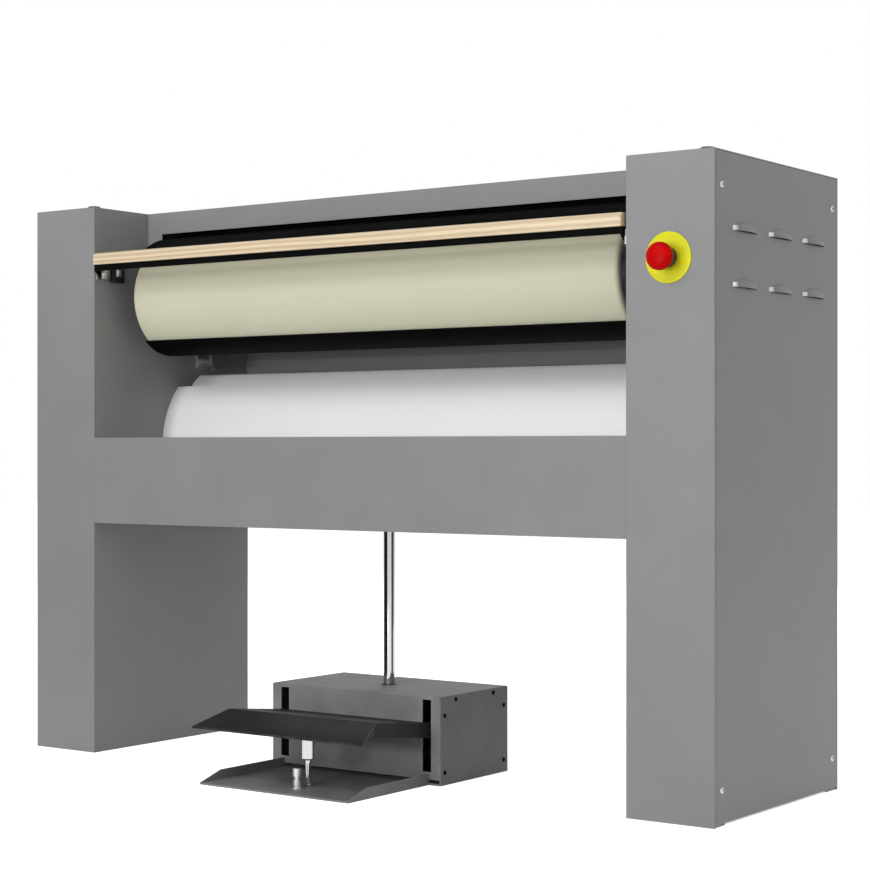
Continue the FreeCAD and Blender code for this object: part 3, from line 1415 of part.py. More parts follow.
def build():
    for side in (-1, 1):
        column_casing(side)
        side_cover(side)
        shoe_arm(side)
    frame_plates()
    roller_bearings()
    side_cover_screws()
    top_plugs()
    column_base_plates()
    front_apron()
    top_hood()
    rear_panels()
    cross_beams()
    roller_tube()
    roller_padding()
    journal(-1, S.left_journal_length)
    journal(1, pulley_x + S.pulley_width - half_roller)
    roller_pulley()
    motor_pulley()
    gearbox()
    drive_motor()
    drive_belt()
    control_box()
    heated_shoe()
    heating_elements()
    shoe_insulation()
    shoe_back_cover()
    shoe_pivot_flanges()
    lower_guide()
    shoe_cranks()
    lift_links()
    torque_shaft()
    torque_shaft_bushes()
    pull_rod()
    linen_tray()
    pedal_box_base()
    pedal_box_front()
    pedal_box_cover()
    pedal_box_sides()
    pedal_box_screws()
    rod_bush()
    foot_pedal()
    pedal_shafts()
    strut()
    switch_post()
    wooden_bar()
    bar_carrier()
    guard_bar_brackets()
    guard_bar_switches()
    emergency_stop()


def check():
    doc.recompute()
    for thing in doc.Objects:
        if "Invalid" in thing.State or "Error" in thing.State:
            raise ValueError("%s is %s" % (thing.Label, thing.State))
    for name, thing in NODES.items():
        shape = thing.Shape
        if shape.isNull() or not shape.isValid() or not shape.Solids:
            raise ValueError("%s has no valid solid" % name)


def export():
    os.makedirs("parts", exist_ok=True)
    for name, thing in NODES.items():
        thing.Shape.exportStep("parts/%s.step" % name)


build()
check()
export()
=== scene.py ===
"""The flatwork ironer's looks: softened sheet metal, padded roller, fittings and finishes.

The machine's shapes are drawn in millimetres from its datum: x across, setback behind the front
plane of the columns, z above the floor. The studio and the sizes inside materials are in metres,
except where a name ends in _mm.
"""
import json
import math
import random

import bmesh
import bpy
from mathutils import Matrix, Vector


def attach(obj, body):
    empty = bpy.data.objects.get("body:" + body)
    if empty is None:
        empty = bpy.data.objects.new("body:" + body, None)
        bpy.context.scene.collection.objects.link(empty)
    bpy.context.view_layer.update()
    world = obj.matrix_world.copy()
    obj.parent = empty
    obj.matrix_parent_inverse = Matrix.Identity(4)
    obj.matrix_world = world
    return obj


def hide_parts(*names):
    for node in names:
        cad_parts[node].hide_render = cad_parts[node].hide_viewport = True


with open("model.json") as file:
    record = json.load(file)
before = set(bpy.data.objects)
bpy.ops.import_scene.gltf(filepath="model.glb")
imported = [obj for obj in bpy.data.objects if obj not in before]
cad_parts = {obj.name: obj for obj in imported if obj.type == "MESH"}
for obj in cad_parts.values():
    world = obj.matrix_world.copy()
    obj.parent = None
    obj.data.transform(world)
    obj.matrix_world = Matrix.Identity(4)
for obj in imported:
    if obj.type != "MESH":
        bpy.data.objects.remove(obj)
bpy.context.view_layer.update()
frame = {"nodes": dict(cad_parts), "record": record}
NODES = frame["nodes"]
RECORD = frame["record"]
BODY_OF = {node: body for body, nodes in RECORD["behaviour"]["bodies"].items() for node in nodes}
SLOT_OF = {row["node"]: row["material_slot"] for row in RECORD["subparts"]}

FRONT_PLANE_Y = -0.1365
ROLLER_AXIS = (150, 812)
ROLLER_RADIUS = 100
HALF_ROLLER = 500
INNER_WALL = 545
OUTER_WALL = 690
LOUVRE_MIDDLE, LOUVRE_PITCH, LOUVRE_SILLS = 212, 115.5, (857, 775)
GUARD_PIVOT = (20, 852)
SWITCH_PLUNGER = (53, 855)


def at(x, setback, z):
    """A point given in millimetres from the datum, in the frame's metres."""
    return Vector((x / 1000, setback / 1000 + FRONT_PLANE_Y, z / 1000))


# ---- node groups ------------------------------------------------------------------------


class Graph:
    """Adds and links nodes in one node tree."""

    def __init__(self, tree):
        self.tree = tree

    def add(self, kind, inputs=None, **settings):
        node = self.tree.nodes.new(kind)
        for key, value in settings.items():
            setattr(node, key, value)
        for key, value in (inputs or {}).items():
            self.feed(node.inputs[key], value)
        return node

    def feed(self, socket, value):
        if isinstance(value, bpy.types.NodeSocket):
            self.tree.links.new(value, socket)
        else:
            socket.default_value = value

    def math(self, operation, *values):
        node = self.tree.nodes.new("ShaderNodeMath")
        node.operation = operation
        for number, value in enumerate(values):
            self.feed(node.inputs[number], value)
        return node.outputs[0]

    def ramp(self, value, low, high, start=0.0, end=1.0):
        node = self.add("ShaderNodeMapRange", {0: value, 1: low, 2: high, 3: start, 4: end})
        node.interpolation_type = "SMOOTHSTEP"
        return node.outputs[0]

    def mix(self, factor, first, second):
        node = self.tree.nodes.new("ShaderNodeMix")
        node.data_type = "RGBA"
        for socket, value in ((node.inputs[0], factor), (node.inputs[6], first),
                              (node.inputs[7], second)):
            self.feed(socket, value)
        return node.outputs[2]

    def noise(self, place, scale, detail=2.0, roughness=0.5):
        inputs = {"Vector": place, "Scale": scale, "Detail": detail, "Roughness": roughness}
        return self.add("ShaderNodeTexNoise", inputs).outputs[0]


GROUPS = {}


def effect(name, inputs, outputs):
    """Starts a shared effect: a node group with named inputs and outputs."""
    def build(fill):
        tree = bpy.data.node_groups.new(name, "ShaderNodeTree")
        for label, default in inputs.items():
            kind = "NodeSocketVector" if isinstance(default, tuple) else "NodeSocketFloat"
            socket = tree.interface.new_socket(label, in_out="INPUT", socket_type=kind)
            socket.default_value = default
        for label in outputs:
            tree.interface.new_socket(label, in_out="OUTPUT", socket_type="NodeSocketFloat")
        graph = Graph(tree)
        given = graph.add("NodeGroupInput").outputs
        place = graph.add("ShaderNodeTexCoord").outputs["Object"]
        results = fill(graph, given, place)
        wanted = graph.add("NodeGroupOutput")
        for label, result in zip(outputs, results):
            graph.feed(wanted.inputs[label], result)
        GROUPS[name] = tree
        return fill
    return build


@effect("powder_grain", {"Scale": 900.0}, ["Height", "Speckle"])
def powder_grain(graph, given, place):
    """The fine orange peel of powder coat, and its tiny light and dark flecks."""
    peel = graph.noise(place, given["Scale"], 1.5, 0.6)
    flecks = graph.noise(place, graph.math("MULTIPLY", given["Scale"], 2.3), 1.0)
    return peel, graph.ramp(flecks, 0.42, 0.62)


@effect("handling_marks", {"Scale": 6.0, "Sharpness": 0.12}, ["Mask", "Cloud"])
def handling_marks(graph, given, place):
    """Where hands and cloths have been: soft patches and a slow cloud of tone."""
    warp = graph.noise(place, graph.math("MULTIPLY", given["Scale"], 0.5), 2.0)
    cloud = graph.noise(place, given["Scale"], 4.0, 0.55)
    blend = graph.math("MULTIPLY", warp, cloud)
    high = graph.math("ADD", given["Sharpness"], 0.2)
    return graph.ramp(blend, 0.2, high), graph.ramp(cloud, 0.3, 0.7)


@effect("edge_wear", {"Radius": 0.002, "Patchiness": 40.0}, ["Mask"])
def edge_wear(graph, given, place):
    """Edges and corners that are rubbed bare, in patches."""
    rounded = graph.add("ShaderNodeBevel", {"Radius": given["Radius"]}, samples=4).outputs[0]
    flat = graph.add("ShaderNodeNewGeometry").outputs["Normal"]
    dot = graph.add("ShaderNodeVectorMath", {0: rounded, 1: flat}, operation="DOT_PRODUCT")
    edge = graph.ramp(dot.outputs["Value"], 0.995, 0.93)
    patches = graph.ramp(graph.noise(place, given["Patchiness"], 4.0, 0.6), 0.4, 0.62)
    return (graph.math("MULTIPLY", edge, patches),)


@effect("drawn_lines", {"Stretch": (4.0, 900.0, 900.0)}, ["Height", "Streak"])
def drawn_lines(graph, given, place):
    """Fine lines along one direction, as left by rolling, brushing or turning."""
    stretched = graph.add("ShaderNodeVectorMath", {0: place, 1: given["Stretch"]},
                          operation="MULTIPLY").outputs[0]
    lines = graph.noise(stretched, 1.0, 3.0, 0.65)
    broad = graph.add("ShaderNodeVectorMath", {0: stretched, 1: (0.12, 0.12, 0.12)},
                      operation="MULTIPLY").outputs[0]
    return lines, graph.noise(broad, 1.0, 2.0)


@effect("cloth_weave", {"Threads": 1300.0}, ["Height", "Tone"])
def cloth_weave(graph, given, place):
    """Plain weave wrapped round the roller: threads along it and threads round it."""
    split = graph.add("ShaderNodeSeparateXYZ", {0: place}).outputs
    depth = graph.math("SUBTRACT", split["Y"], ROLLER_AXIS[0] / 1000 + FRONT_PLANE_Y)
    rise = graph.math("SUBTRACT", split["Z"], ROLLER_AXIS[1] / 1000)
    angle = graph.math("ARCTAN2", rise, depth)
    around = graph.math("MULTIPLY", angle, ROLLER_RADIUS / 1000)
    waves = []
    for coordinate in (split["X"], around):
        scaled = graph.math("MULTIPLY", coordinate, given["Threads"])
        waves.append(graph.math("SINE", scaled))
    over = graph.math("MULTIPLY", *waves)
    slub = graph.noise(place, 260.0, 3.0, 0.6)
    height = graph.math("ADD", graph.math("MULTIPLY", over, 0.5), slub)
    return height, graph.ramp(slub, 0.35, 0.65)


@effect("wood_grain", {"Rings": 260.0}, ["Grain", "Pores"])
def wood_grain(graph, given, place):
    """Straight grain along X, with year bands that drift and short dark pores."""
    drift = graph.noise(graph.add("ShaderNodeVectorMath", {0: place, 1: (1.6, 20.0, 20.0)},
                                  operation="MULTIPLY").outputs[0], 1.0, 3.0)
    split = graph.add("ShaderNodeSeparateXYZ", {0: place}).outputs
    across = graph.math("ADD", split["Z"], graph.math("MULTIPLY", split["Y"], 0.6))
    phase = graph.math("ADD", graph.math("MULTIPLY", across, given["Rings"]),
                       graph.math("MULTIPLY", drift, 9.0))
    bands = graph.math("ADD", graph.math("MULTIPLY", graph.math("SINE", phase), 0.5), 0.5)
    fibres = graph.noise(graph.add("ShaderNodeVectorMath", {0: place, 1: (22.0, 900.0, 900.0)},
                                   operation="MULTIPLY").outputs[0], 1.0, 4.0, 0.6)
    grain = graph.math("ADD", graph.math("MULTIPLY", bands, 0.6),
                       graph.math("MULTIPLY", fibres, 0.4))
    return grain, graph.ramp(fibres, 0.6, 0.72)


# ---- materials --------------------------------------------------------------------------


class Finish:
    """One material: a Principled shader and the effects that feed it."""

    def __init__(self, name, **constants):
        self.material = bpy.data.materials.new(name)
        self.material.use_nodes = True
        tree = self.material.node_tree
        tree.nodes.clear()
        self.graph = Graph(tree)
        self.shader = self.graph.add("ShaderNodeBsdfPrincipled")
        for label, value in constants.items():
            self.shader.inputs[label.replace("_", " ")].default_value = value
        output = self.graph.add("ShaderNodeOutputMaterial")
        tree.links.new(self.shader.outputs[0], output.inputs[0])

    def use(self, name, **values):
        node = self.graph.add("ShaderNodeGroup")
        node.node_tree = GROUPS[name]
        for label, value in values.items():
            node.inputs[label].default_value = value
        return node.outputs

    def colour(self, value):
        self.graph.feed(self.shader.inputs["Base Color"], value)

    def roughness(self, mask, low, high):
        level = self.graph.ramp(mask, 0.0, 1.0, low, high)
        self.graph.feed(self.shader.inputs["Roughness"], level)

    def bump(self, height, distance_mm, strength):
        """Relief of a height that runs from 0 to 1."""
        inputs = {"Height": height, "Distance": distance_mm / 1000, "Strength": strength}
        relief = self.graph.add("ShaderNodeBump", inputs)
        self.graph.feed(self.shader.inputs["Normal"], relief.outputs[0])


def grey(level, warm=0.0):
    return (level + warm, level, level - warm, 1.0)


def shaded(tone, share, dust=0.0):
    """A tone made lighter or darker by a share, under a little dust."""
    return tuple(value * share + dust for value in tone[:3]) + (1,)


def powder_coat(name, tone):
    finish = Finish(name, Specular_IOR_Level=0.4)
    grain = finish.use("powder_grain", Scale=950.0)
    marks = finish.use("handling_marks", Scale=9.0, Sharpness=0.3)
    mottled = finish.graph.mix(grain["Speckle"], shaded(tone, 0.95), tone)
    finish.colour(finish.graph.mix(marks["Cloud"], mottled, shaded(tone, 1.02)))
    finish.roughness(marks["Mask"], 0.43, 0.47)
    finish.bump(grain["Height"], 0.06, 0.55)
    return finish.material


def worn_paint(name, tone, bare, rough=(0.3, 0.5), patch=50.0, gloss=0.5, dust=0.006):
    finish = Finish(name, Specular_IOR_Level=gloss)
    grain = finish.use("powder_grain", Scale=1200.0)
    marks = finish.use("handling_marks", Scale=13.0, Sharpness=0.3)
    wear = finish.use("edge_wear", Radius=0.0016, Patchiness=patch)
    soiled = finish.graph.mix(marks["Cloud"], tone, shaded(tone, 1.25, dust))
    finish.colour(finish.graph.mix(wear["Mask"], soiled, bare))
    finish.roughness(marks["Mask"], *rough)
    finish.bump(grain["Height"], 0.05, 0.5)
    return finish.material


def bare_metal(name, tone, stretch, rough, relief_mm=0.01):
    finish = Finish(name, Metallic=1.0)
    lines = finish.use("drawn_lines", Stretch=stretch)
    marks = finish.use("handling_marks", Scale=14.0)
    finish.colour(finish.graph.mix(lines["Streak"], shaded(tone, 0.82), tone))
    finish.roughness(marks["Mask"], *rough)
    finish.bump(lines["Height"], relief_mm, 0.5)
    return finish.material


def plastic(name, tone, rough, grain_scale=1500.0, gloss=0.5):
    finish = Finish(name, Specular_IOR_Level=gloss)
    grain = finish.use("powder_grain", Scale=grain_scale)
    marks = finish.use("handling_marks", Scale=30.0)
    finish.colour(finish.graph.mix(marks["Cloud"], shaded(tone, 0.86), tone))
    finish.roughness(marks["Mask"], *rough)
    finish.bump(grain["Height"], 0.02, 0.3)
    return finish.material


def slide_with_painted_reflection():
    """Satin-rolled sheet drawn near-white and barely metallic: a painted reflection, the white
    standing in for studio lamps mirrored in the steel, with faint lines and buffed patches.
    """
    finish = Finish("polished_steel", Metallic=0.04, Specular_IOR_Level=0.5)
    lines = finish.use("drawn_lines", Stretch=(3.0, 700.0, 700.0))
    marks = finish.use("handling_marks", Scale=4.0)
    # Painted reflection: the near-white base colour stands in for the lamps that polished steel
    # would mirror.
    finish.colour(finish.graph.mix(lines["Streak"], (0.91, 0.91, 0.91, 1), (0.96, 0.96, 0.96, 1)))
    finish.roughness(marks["Mask"], 0.36, 0.44)
    finish.bump(lines["Height"], 0.006, 0.4)
    return finish.material


def roller_cloth():
    finish = Finish("padding_cloth", Sheen_Weight=0.25, Sheen_Roughness=0.5,
                    Specular_IOR_Level=0.2)
    weave = finish.use("cloth_weave", Threads=6300.0)
    marks = finish.use("handling_marks", Scale=7.0)
    cream, shade = (0.645, 0.625, 0.465, 1), (0.61, 0.59, 0.435, 1)
    toned = finish.graph.mix(weave["Tone"], shade, cream)
    finish.colour(finish.graph.mix(marks["Cloud"], toned, (0.62, 0.6, 0.445, 1)))
    finish.roughness(weave["Tone"], 0.8, 0.92)
    finish.bump(weave["Height"], 0.05, 0.2)
    return finish.material


def lacquered_wood():
    finish = Finish("wood", Specular_IOR_Level=0.45, Coat_Weight=0.15, Coat_Roughness=0.3)
    wood = finish.use("wood_grain", Rings=700.0)
    marks = finish.use("handling_marks", Scale=12.0)
    pale, honey = (0.84, 0.7, 0.48, 1), (0.53, 0.38, 0.23, 1)
    banded = finish.graph.mix(wood["Grain"], pale, honey)
    finish.colour(finish.graph.mix(wood["Pores"], banded, (0.44, 0.3, 0.17, 1)))
    finish.roughness(marks["Mask"], 0.35, 0.5)
    finish.bump(wood["Grain"], 0.06, 0.5)
    return finish.material


def mineral_wool():
    finish = Finish("insulation", Specular_IOR_Level=0.2)
    marks = finish.use("handling_marks", Scale=60.0)
    finish.colour(finish.graph.mix(marks["Cloud"], (0.5, 0.42, 0.24, 1), (0.7, 0.62, 0.4, 1)))
    finish.roughness(marks["Mask"], 0.85, 0.95)
    finish.bump(marks["Cloud"], 2.0, 0.6)
    return finish.material


ALONG_X = (4.0, 800.0, 800.0)
ALONG_Z = (800.0, 800.0, 4.0)
ROUND_X = (900.0, 60.0, 60.0)
MATERIALS = {
    "grey_paint": powder_coat("grey_paint", grey(0.245, 0.001)),
    "dark_paint": worn_paint("dark_paint", grey(0.015), grey(0.12), (0.5, 0.65), gloss=0.15,
                             dust=0.002),
    "box_paint": worn_paint("box_paint", (0.19, 0.183, 0.175, 1), grey(0.32), (0.55, 0.65),
                            gloss=0.25),
    "black_guide": worn_paint("black_guide", grey(0.002), grey(0.015), (0.5, 0.6), gloss=0.008,
                              dust=0.0008),
    "black_steel": worn_paint("black_steel", grey(0.003), grey(0.03), (0.45, 0.6), gloss=0.015,
                              dust=0.001),
    "zinc_steel": bare_metal("zinc_steel", grey(0.62, 0.004), ALONG_Z, (0.28, 0.42)),
    "frame_steel": bare_metal("frame_steel", grey(0.36, 0.004), ALONG_X, (0.35, 0.5)),
    "chrome": bare_metal("chrome", grey(0.58), ALONG_Z, (0.05, 0.1), 0.003),
    "polished_steel": slide_with_painted_reflection(),
    "roller_steel": bare_metal("roller_steel", grey(0.5), ROUND_X, (0.3, 0.42)),
    "padding_cloth": roller_cloth(),
    # Painted shade: the shoe gets near-black, almost glossless paint so it reads as the dark
    # inside of the hood round the roller.
    "cast_shoe": worn_paint("cast_shoe", grey(0.002), grey(0.015), (0.5, 0.65), 30.0, 0.008,
                            0.0008),
    # Painted shade: the shoe's back cover is near-black so the hood opening behind the roller
    # reads dark.
    "back_sheet": worn_paint("back_sheet", grey(0.004), grey(0.03), (0.5, 0.65), gloss=0.02,
                             dust=0.001),
    "insulation": mineral_wool(),
    "heater_steel": bare_metal("heater_steel", (0.26, 0.22, 0.19, 1), ALONG_X, (0.4, 0.6)),
    "wood": lacquered_wood(),
    "red_plastic": plastic("red_plastic", (0.6, 0.0005, 0.001, 1), (0.35, 0.45), gloss=0.06),
    "yellow_plastic": plastic("yellow_plastic", (0.78, 0.77, 0.008, 1), (0.4, 0.55), gloss=0.25),
    "black_plastic": plastic("black_plastic", grey(0.014), (0.35, 0.5)),
    "belt_rubber": plastic("belt_rubber", grey(0.02), (0.6, 0.75), 700.0),
    "motor_paint": worn_paint("motor_paint", (0.05, 0.065, 0.085, 1), grey(0.2)),
    "cast_aluminium": bare_metal("cast_aluminium", grey(0.55), (60.0, 60.0, 60.0), (0.45, 0.6),
                                 0.05),
    "pulley_iron": bare_metal("pulley_iron", grey(0.2), ROUND_X, (0.35, 0.5)),
    "bronze": bare_metal("bronze", (0.55, 0.36, 0.14, 1), ROUND_X, (0.3, 0.45)),
}


# ---- making and placing pieces ----------------------------------------------------------


def piece(name, shape, slot, body="frame", replaces=(), smooth=40.0, flat_faces=False):
    """Turns a bmesh into a placed, finished piece."""
    bmesh.ops.recalc_face_normals(shape, faces=shape.faces)
    mesh = bpy.data.meshes.new(name)
    shape.to_mesh(mesh)
    shape.free()
    mesh.shade_smooth()
    mesh.set_sharp_from_angle(angle=math.radians(smooth))
    mesh.materials.clear()
    mesh.materials.append(MATERIALS[slot])
    thing = bpy.data.objects.new(name, mesh)
    bpy.context.scene.collection.objects.link(thing)
    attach(thing, body)
    if replaces:
        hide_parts(*replaces)
    if flat_faces:
        flatten = thing.modifiers.new("flat faces stay flat", "WEIGHTED_NORMAL")
        flatten.keep_sharp = True
        flatten.weight = 100
    return thing


def face_width(edge, face):
    """How far a face reaches from one of its edges."""
    line = (edge.verts[1].co - edge.verts[0].co).normalized()
    start = edge.verts[0].co
    reach = 0.0
    for vert in face.verts:
        offset = vert.co - start
        reach = max(reach, (offset - line * offset.dot(line)).length)
    return reach


def bevelled(shape, chooses, radius_mm, segments):
    edges = [edge for edge in shape.edges if len(edge.link_faces) == 2 and chooses(edge)]
    if edges and radius_mm > 0:
        bmesh.ops.bevel(shape, geom=edges, offset=radius_mm / 1000, offset_type="OFFSET",
                        segments=segments, profile=0.5, affect="EDGES", clamp_overlap=True)


def cad_shape(node):
    """A copy of a CAD node's surface, with whole flat faces instead of triangles."""
    shape = bmesh.new()
    shape.from_mesh(NODES[node].data)
    bmesh.ops.remove_doubles(shape, verts=shape.verts, dist=2e-6)
    bmesh.ops.dissolve_limit(shape, angle_limit=math.radians(0.6), verts=shape.verts,
                             edges=shape.edges)
    return shape


def softened(node, fold_mm, edge_mm):
    """A CAD node with its bends rolled and its cut edges broken, as sheet metal has them."""
    shape = cad_shape(node)
    sharp, cut_face, shortest = math.radians(40.0), 0.008, 0.001

    def bend(edge):
        return (edge.calc_face_angle(0) > sharp
                and min(face_width(edge, face) for face in edge.link_faces) > cut_face)

    def cut(edge):
        return (edge.calc_face_angle(0) > sharp and edge.calc_length() > shortest
                and not bend(edge))

    bevelled(shape, lambda edge: bend(edge) and edge.is_convex, fold_mm, 4)
    bevelled(shape, cut, edge_mm, 1)
    piece(node + "_finished", shape, SLOT_OF[node], BODY_OF[node], (node,), flat_faces=True)


def skin(shape, rings):
    """Faces between each closed ring of vertices and the next."""
    for low, high in zip(rings, rings[1:]):
        for number in range(len(low)):
            after = (number + 1) % len(low)
            shape.faces.new((low[number], low[after], high[after], high[number]))


def lathe(profile, axis, centre, steps, share=None):
    """A shape turned about x or y, and its rings; the profile is (distance along, radius)."""
    shape = bmesh.new()
    rings = []
    for number, (distance, radius) in enumerate(profile):
        ring = []
        for step in range(steps):
            angle = 2 * math.pi * step / steps
            reach = radius * (share(number, angle) if share else 1.0)
            across, up = reach * math.cos(angle), reach * math.sin(angle)
            offset = (distance, across, up) if axis == "x" else (across, distance, up)
            ring.append(shape.verts.new(centre + Vector(offset) / 1000))
        rings.append(ring)
    skin(shape, rings)
    return shape, rings


def capped(shape, *rings):
    """The shape, with a face across each of the rings."""
    for ring in rings:
        shape.faces.new(ring)
    return shape


def arc(centre, radius, start, end, count):
    """Points on an arc in a section; angles in degrees, counted from the first axis."""
    points = []
    for number in range(count + 1):
        angle = math.radians(start + (end - start) * number / count)
        points.append((centre[0] + radius * math.cos(angle), centre[1] + radius * math.sin(angle)))
    return points


def joined(shapes):
    """One bmesh from several."""
    whole = bmesh.new()
    for shape in shapes:
        mesh = bpy.data.meshes.new("part")
        shape.to_mesh(mesh)
        shape.free()
        whole.from_mesh(mesh)
        bpy.data.meshes.remove(mesh)
    return whole


# ---- sheet metal ------------------------------------------------------------------------


def sheet_metal():
    """Folded sheets keep the CAD's shape and get rolled bends and broken edges."""
    for node in ("left_column_casing", "right_column_casing", "front_apron", "top_hood"):
        softened(node, 2.2, 0.3)
    for node in ("pedal_box_base", "pedal_box_front", "pedal_box_cover", "pedal_box_sides",
                 "foot_pedal"):
        softened(node, 1.2, 0.25)
    for node in ("upper_rear_panel", "lower_rear_panel", "guard_bar_brackets",
                 "guard_bar_switches", "bar_carrier", "shoe_pivot_flanges", "cross_beams",
                 "shoe_cranks", "left_shoe_arm", "right_shoe_arm", "column_base_plates"):
        softened(node, 0.0, 0.4)


def linen_slide():
    """The polished slide and trough, bowed in one smooth sheet with notched top corners."""
    face, bow, middle, sweep = 175, 165, 545, 53.6
    floor, bend = 490, 30
    notch_x, notch_z, spans = 512, 657, 16
    section = [(16.0, 530.0), (16.0, 492.0)] + arc((18, 492), 2, 180, 270, 4)
    section += [(60, floor), (100, floor)] + arc((face - bend, floor + bend), bend, -90, 0, 14)
    section += arc((face + bow, middle), bow, 180, 180 - sweep, 48)
    between = [notch_x * (2 * n / spans - 1) for n in range(spans + 1)]
    stops = [-INNER_WALL] + between + [INNER_WALL]
    shape = bmesh.new()
    rows = [[shape.verts.new(at(x, s, z)) for x in stops] for s, z in section]
    for low, high, ends in zip(rows, rows[1:], zip(section, section[1:])):
        notched = ends[1][1] > notch_z and ends[1][0] > face + 20
        for column in range(len(stops) - 1):
            if notched and column in (0, len(stops) - 2):
                continue
            shape.faces.new((low[column], low[column + 1], high[column + 1], high[column]))
    shape.normal_update()
    thing = piece("linen_slide", shape, "polished_steel", "frame", ("linen_tray",), 60.0)
    solid = thing.modifiers.new("sheet", "SOLIDIFY")
    solid.thickness = 0.0015
    solid.offset = -1.0


# ---- roller -----------------------------------------------------------------------------


def roller_cover():
    """The padded sleeve: cover cloth drawn tight over felt and tucked in round each end."""
    draw = random.Random(7)
    crown = 7.0
    side = [(HALF_ROLLER - 3.0, 84.0), (HALF_ROLLER - 0.6, 88.0)]
    side += [(HALF_ROLLER - crown + x, ROLLER_RADIUS - crown + r)
             for x, r in arc((0, 0), crown - 0.3, 0, 90, 7)]
    body = [(x, ROLLER_RADIUS - 0.35) for x in range(460, -461, -40)]
    profile = side + body + [(-x, r) for x, r in reversed(side)]
    waves = [(draw.uniform(0, 6.28), draw.uniform(-0.35, 0.35)) for _ in profile]

    def slack(number, angle):
        phase, depth = waves[number]
        flat = 0.0006 * math.sin(3 * angle + phase) * depth
        pleat = 0.0
        if number < 4 or number > len(profile) - 5:
            pleat = 0.006 * max(0.0, math.sin(26 * angle)) ** 3
        return 1.0 + flat - pleat

    centre = at(0, *ROLLER_AXIS)
    shape, _ = lathe(profile, "x", centre, 160, slack)
    thing = piece("roller_cover", shape, "padding_cloth", "roller", ("roller_padding",), 70.0)


def shoe_blanket():
    """Mineral wool behind the shoe: a quilted mat between the casting and the back cover."""
    draw = random.Random(3)
    inner, outer, reach = 118.5, 130.0, 498.0
    first, last = 101.6, 203.4
    rows, columns = 30, 60
    shape = bmesh.new()
    grid = []
    for row in range(rows + 1):
        share = row / rows
        angle = math.radians(first + (last - first) * share)
        line = []
        for column in range(columns + 1):
            along = column / columns
            edge = min(share, 1 - share, along * 3, (1 - along) * 3)
            swell = min(1.0, edge / 0.06) ** 0.5
            quilt = abs(math.sin(6 * math.pi * share) * math.sin(14 * math.pi * along)) ** 0.5
            top = inner + 4.0 + (outer - inner - 5.2 + 0.8 * quilt) * swell
            top += draw.uniform(-0.2, 0.2)
            low = inner + 3.6 - 3.2 * swell
            line.append([shape.verts.new(at(-reach + 2 * reach * along,
                                            ROLLER_AXIS[0] - radius * math.cos(angle),
                                            ROLLER_AXIS[1] + radius * math.sin(angle)))
                         for radius in (low, top)])
        grid.append(line)
    for row in range(rows):
        for column in range(columns):
            near, far = grid[row], grid[row + 1]
            for side in (0, 1):
                shape.faces.new((near[column][side], near[column + 1][side],
                                 far[column + 1][side], far[column][side]))
    rim = [(0, c) for c in range(columns)] + [(r, columns) for r in range(rows)]
    rim += [(rows, c) for c in range(columns, 0, -1)] + [(r, 0) for r in range(rows, 0, -1)]
    for (r1, c1), (r2, c2) in zip(rim, rim[1:] + rim[:1]):
        here, beyond = grid[r1][c1], grid[r2][c2]
        shape.faces.new((here[0], beyond[0], beyond[1], here[1]))
    thing = piece("shoe_blanket", shape, "insulation", "shoe", ("shoe_insulation",), 80.0)


# ---- fittings ---------------------------------------------------------------------------


def socket_screw(centre, side, radius, height, slot_radius):
    """A button-head screw with a six-sided socket; side is the way its head faces along X."""
    profile = [(-0.4, radius), (0.2 * height, radius), (0.62 * height, 0.9 * radius),
               (0.9 * height, 0.7 * radius), (height, 0.5 * radius + 0.2),
               (height, slot_radius), (0.35 * height, slot_radius)]

    def hexagon(number, angle):
        if number < 5:
            return 1.0
        return 0.93 / math.cos((angle % (math.pi / 3)) - math.pi / 6)

    shape, rings = lathe([(side * d, r) for d, r in profile], "x", centre, 24, hexagon)
    return capped(shape, rings[0], rings[-1])


def louvre_glint_shoulders():
    """A pressed shoulder at each louvre's front end, drawn from its middle and sill, in bare zinc:
    a painted glint for the highlight that a painted louvre catches there.
    """
    foot = [(-40.0, 0.2, -0.3), (-40.0, 7.2, -0.3), (-36.5, 8.6, -0.3), (-31.0, 8.6, -0.3),
            (-31.0, 0.2, -0.3)]
    crown = [(-38.7, 0.5, 4.6), (-38.7, 6.2, 4.3), (-36.0, 7.0, 4.2), (-31.8, 7.0, 4.2),
             (-31.8, 0.5, 4.6)]
    shapes = []
    for side in (-1, 1):
        for column in (-1, 0, 1):
            for sill in LOUVRE_SILLS:
                middle = LOUVRE_MIDDLE + LOUVRE_PITCH * column
                shape = bmesh.new()
                low, high = ([shape.verts.new(at(side * (OUTER_WALL + rise), middle + s, sill + z))
                              for s, z, rise in line] for line in (foot, crown))
                capped(shape, low, high)
                skin(shape, (low, high))
                rim = {frozenset((high[n], high[(n + 1) % len(high)])) for n in range(len(high))}
                bevelled(shape, lambda edge: frozenset(edge.verts) in rim, 0.7, 3)
                shapes.append(shape)
    # Painted glint: the shoulders are zinc so they read bright, as a highlight on the painted
    # louvre would.
    piece("louvre_glint_shoulders", joined(shapes), "zinc_steel", "frame", smooth=50.0, flat_faces=True)


def rear_screws():
    """Panel screws along the outer edges of both rear panels."""
    upper_panel, lower_panel = (415.0, (704, 830, 955)), (413.0, (421,))
    outermost, halfway_up = 530, 830
    shapes = []
    for depth, heights in (upper_panel, lower_panel):
        for x in (-outermost, -265, 0, 265, outermost):
            for z in heights:
                if abs(x) < outermost and z == halfway_up:
                    continue
                shape = socket_screw(Vector(), 1, 3.4, 1.8, 1.5)
                bmesh.ops.rotate(shape, verts=shape.verts,
                                 matrix=Matrix.Rotation(math.pi / 2, 3, "Z"))
                bmesh.ops.translate(shape, verts=shape.verts, vec=at(x, depth, z))
                shapes.append(shape)
    piece("rear_panel_screws", joined(shapes), "zinc_steel", "frame")


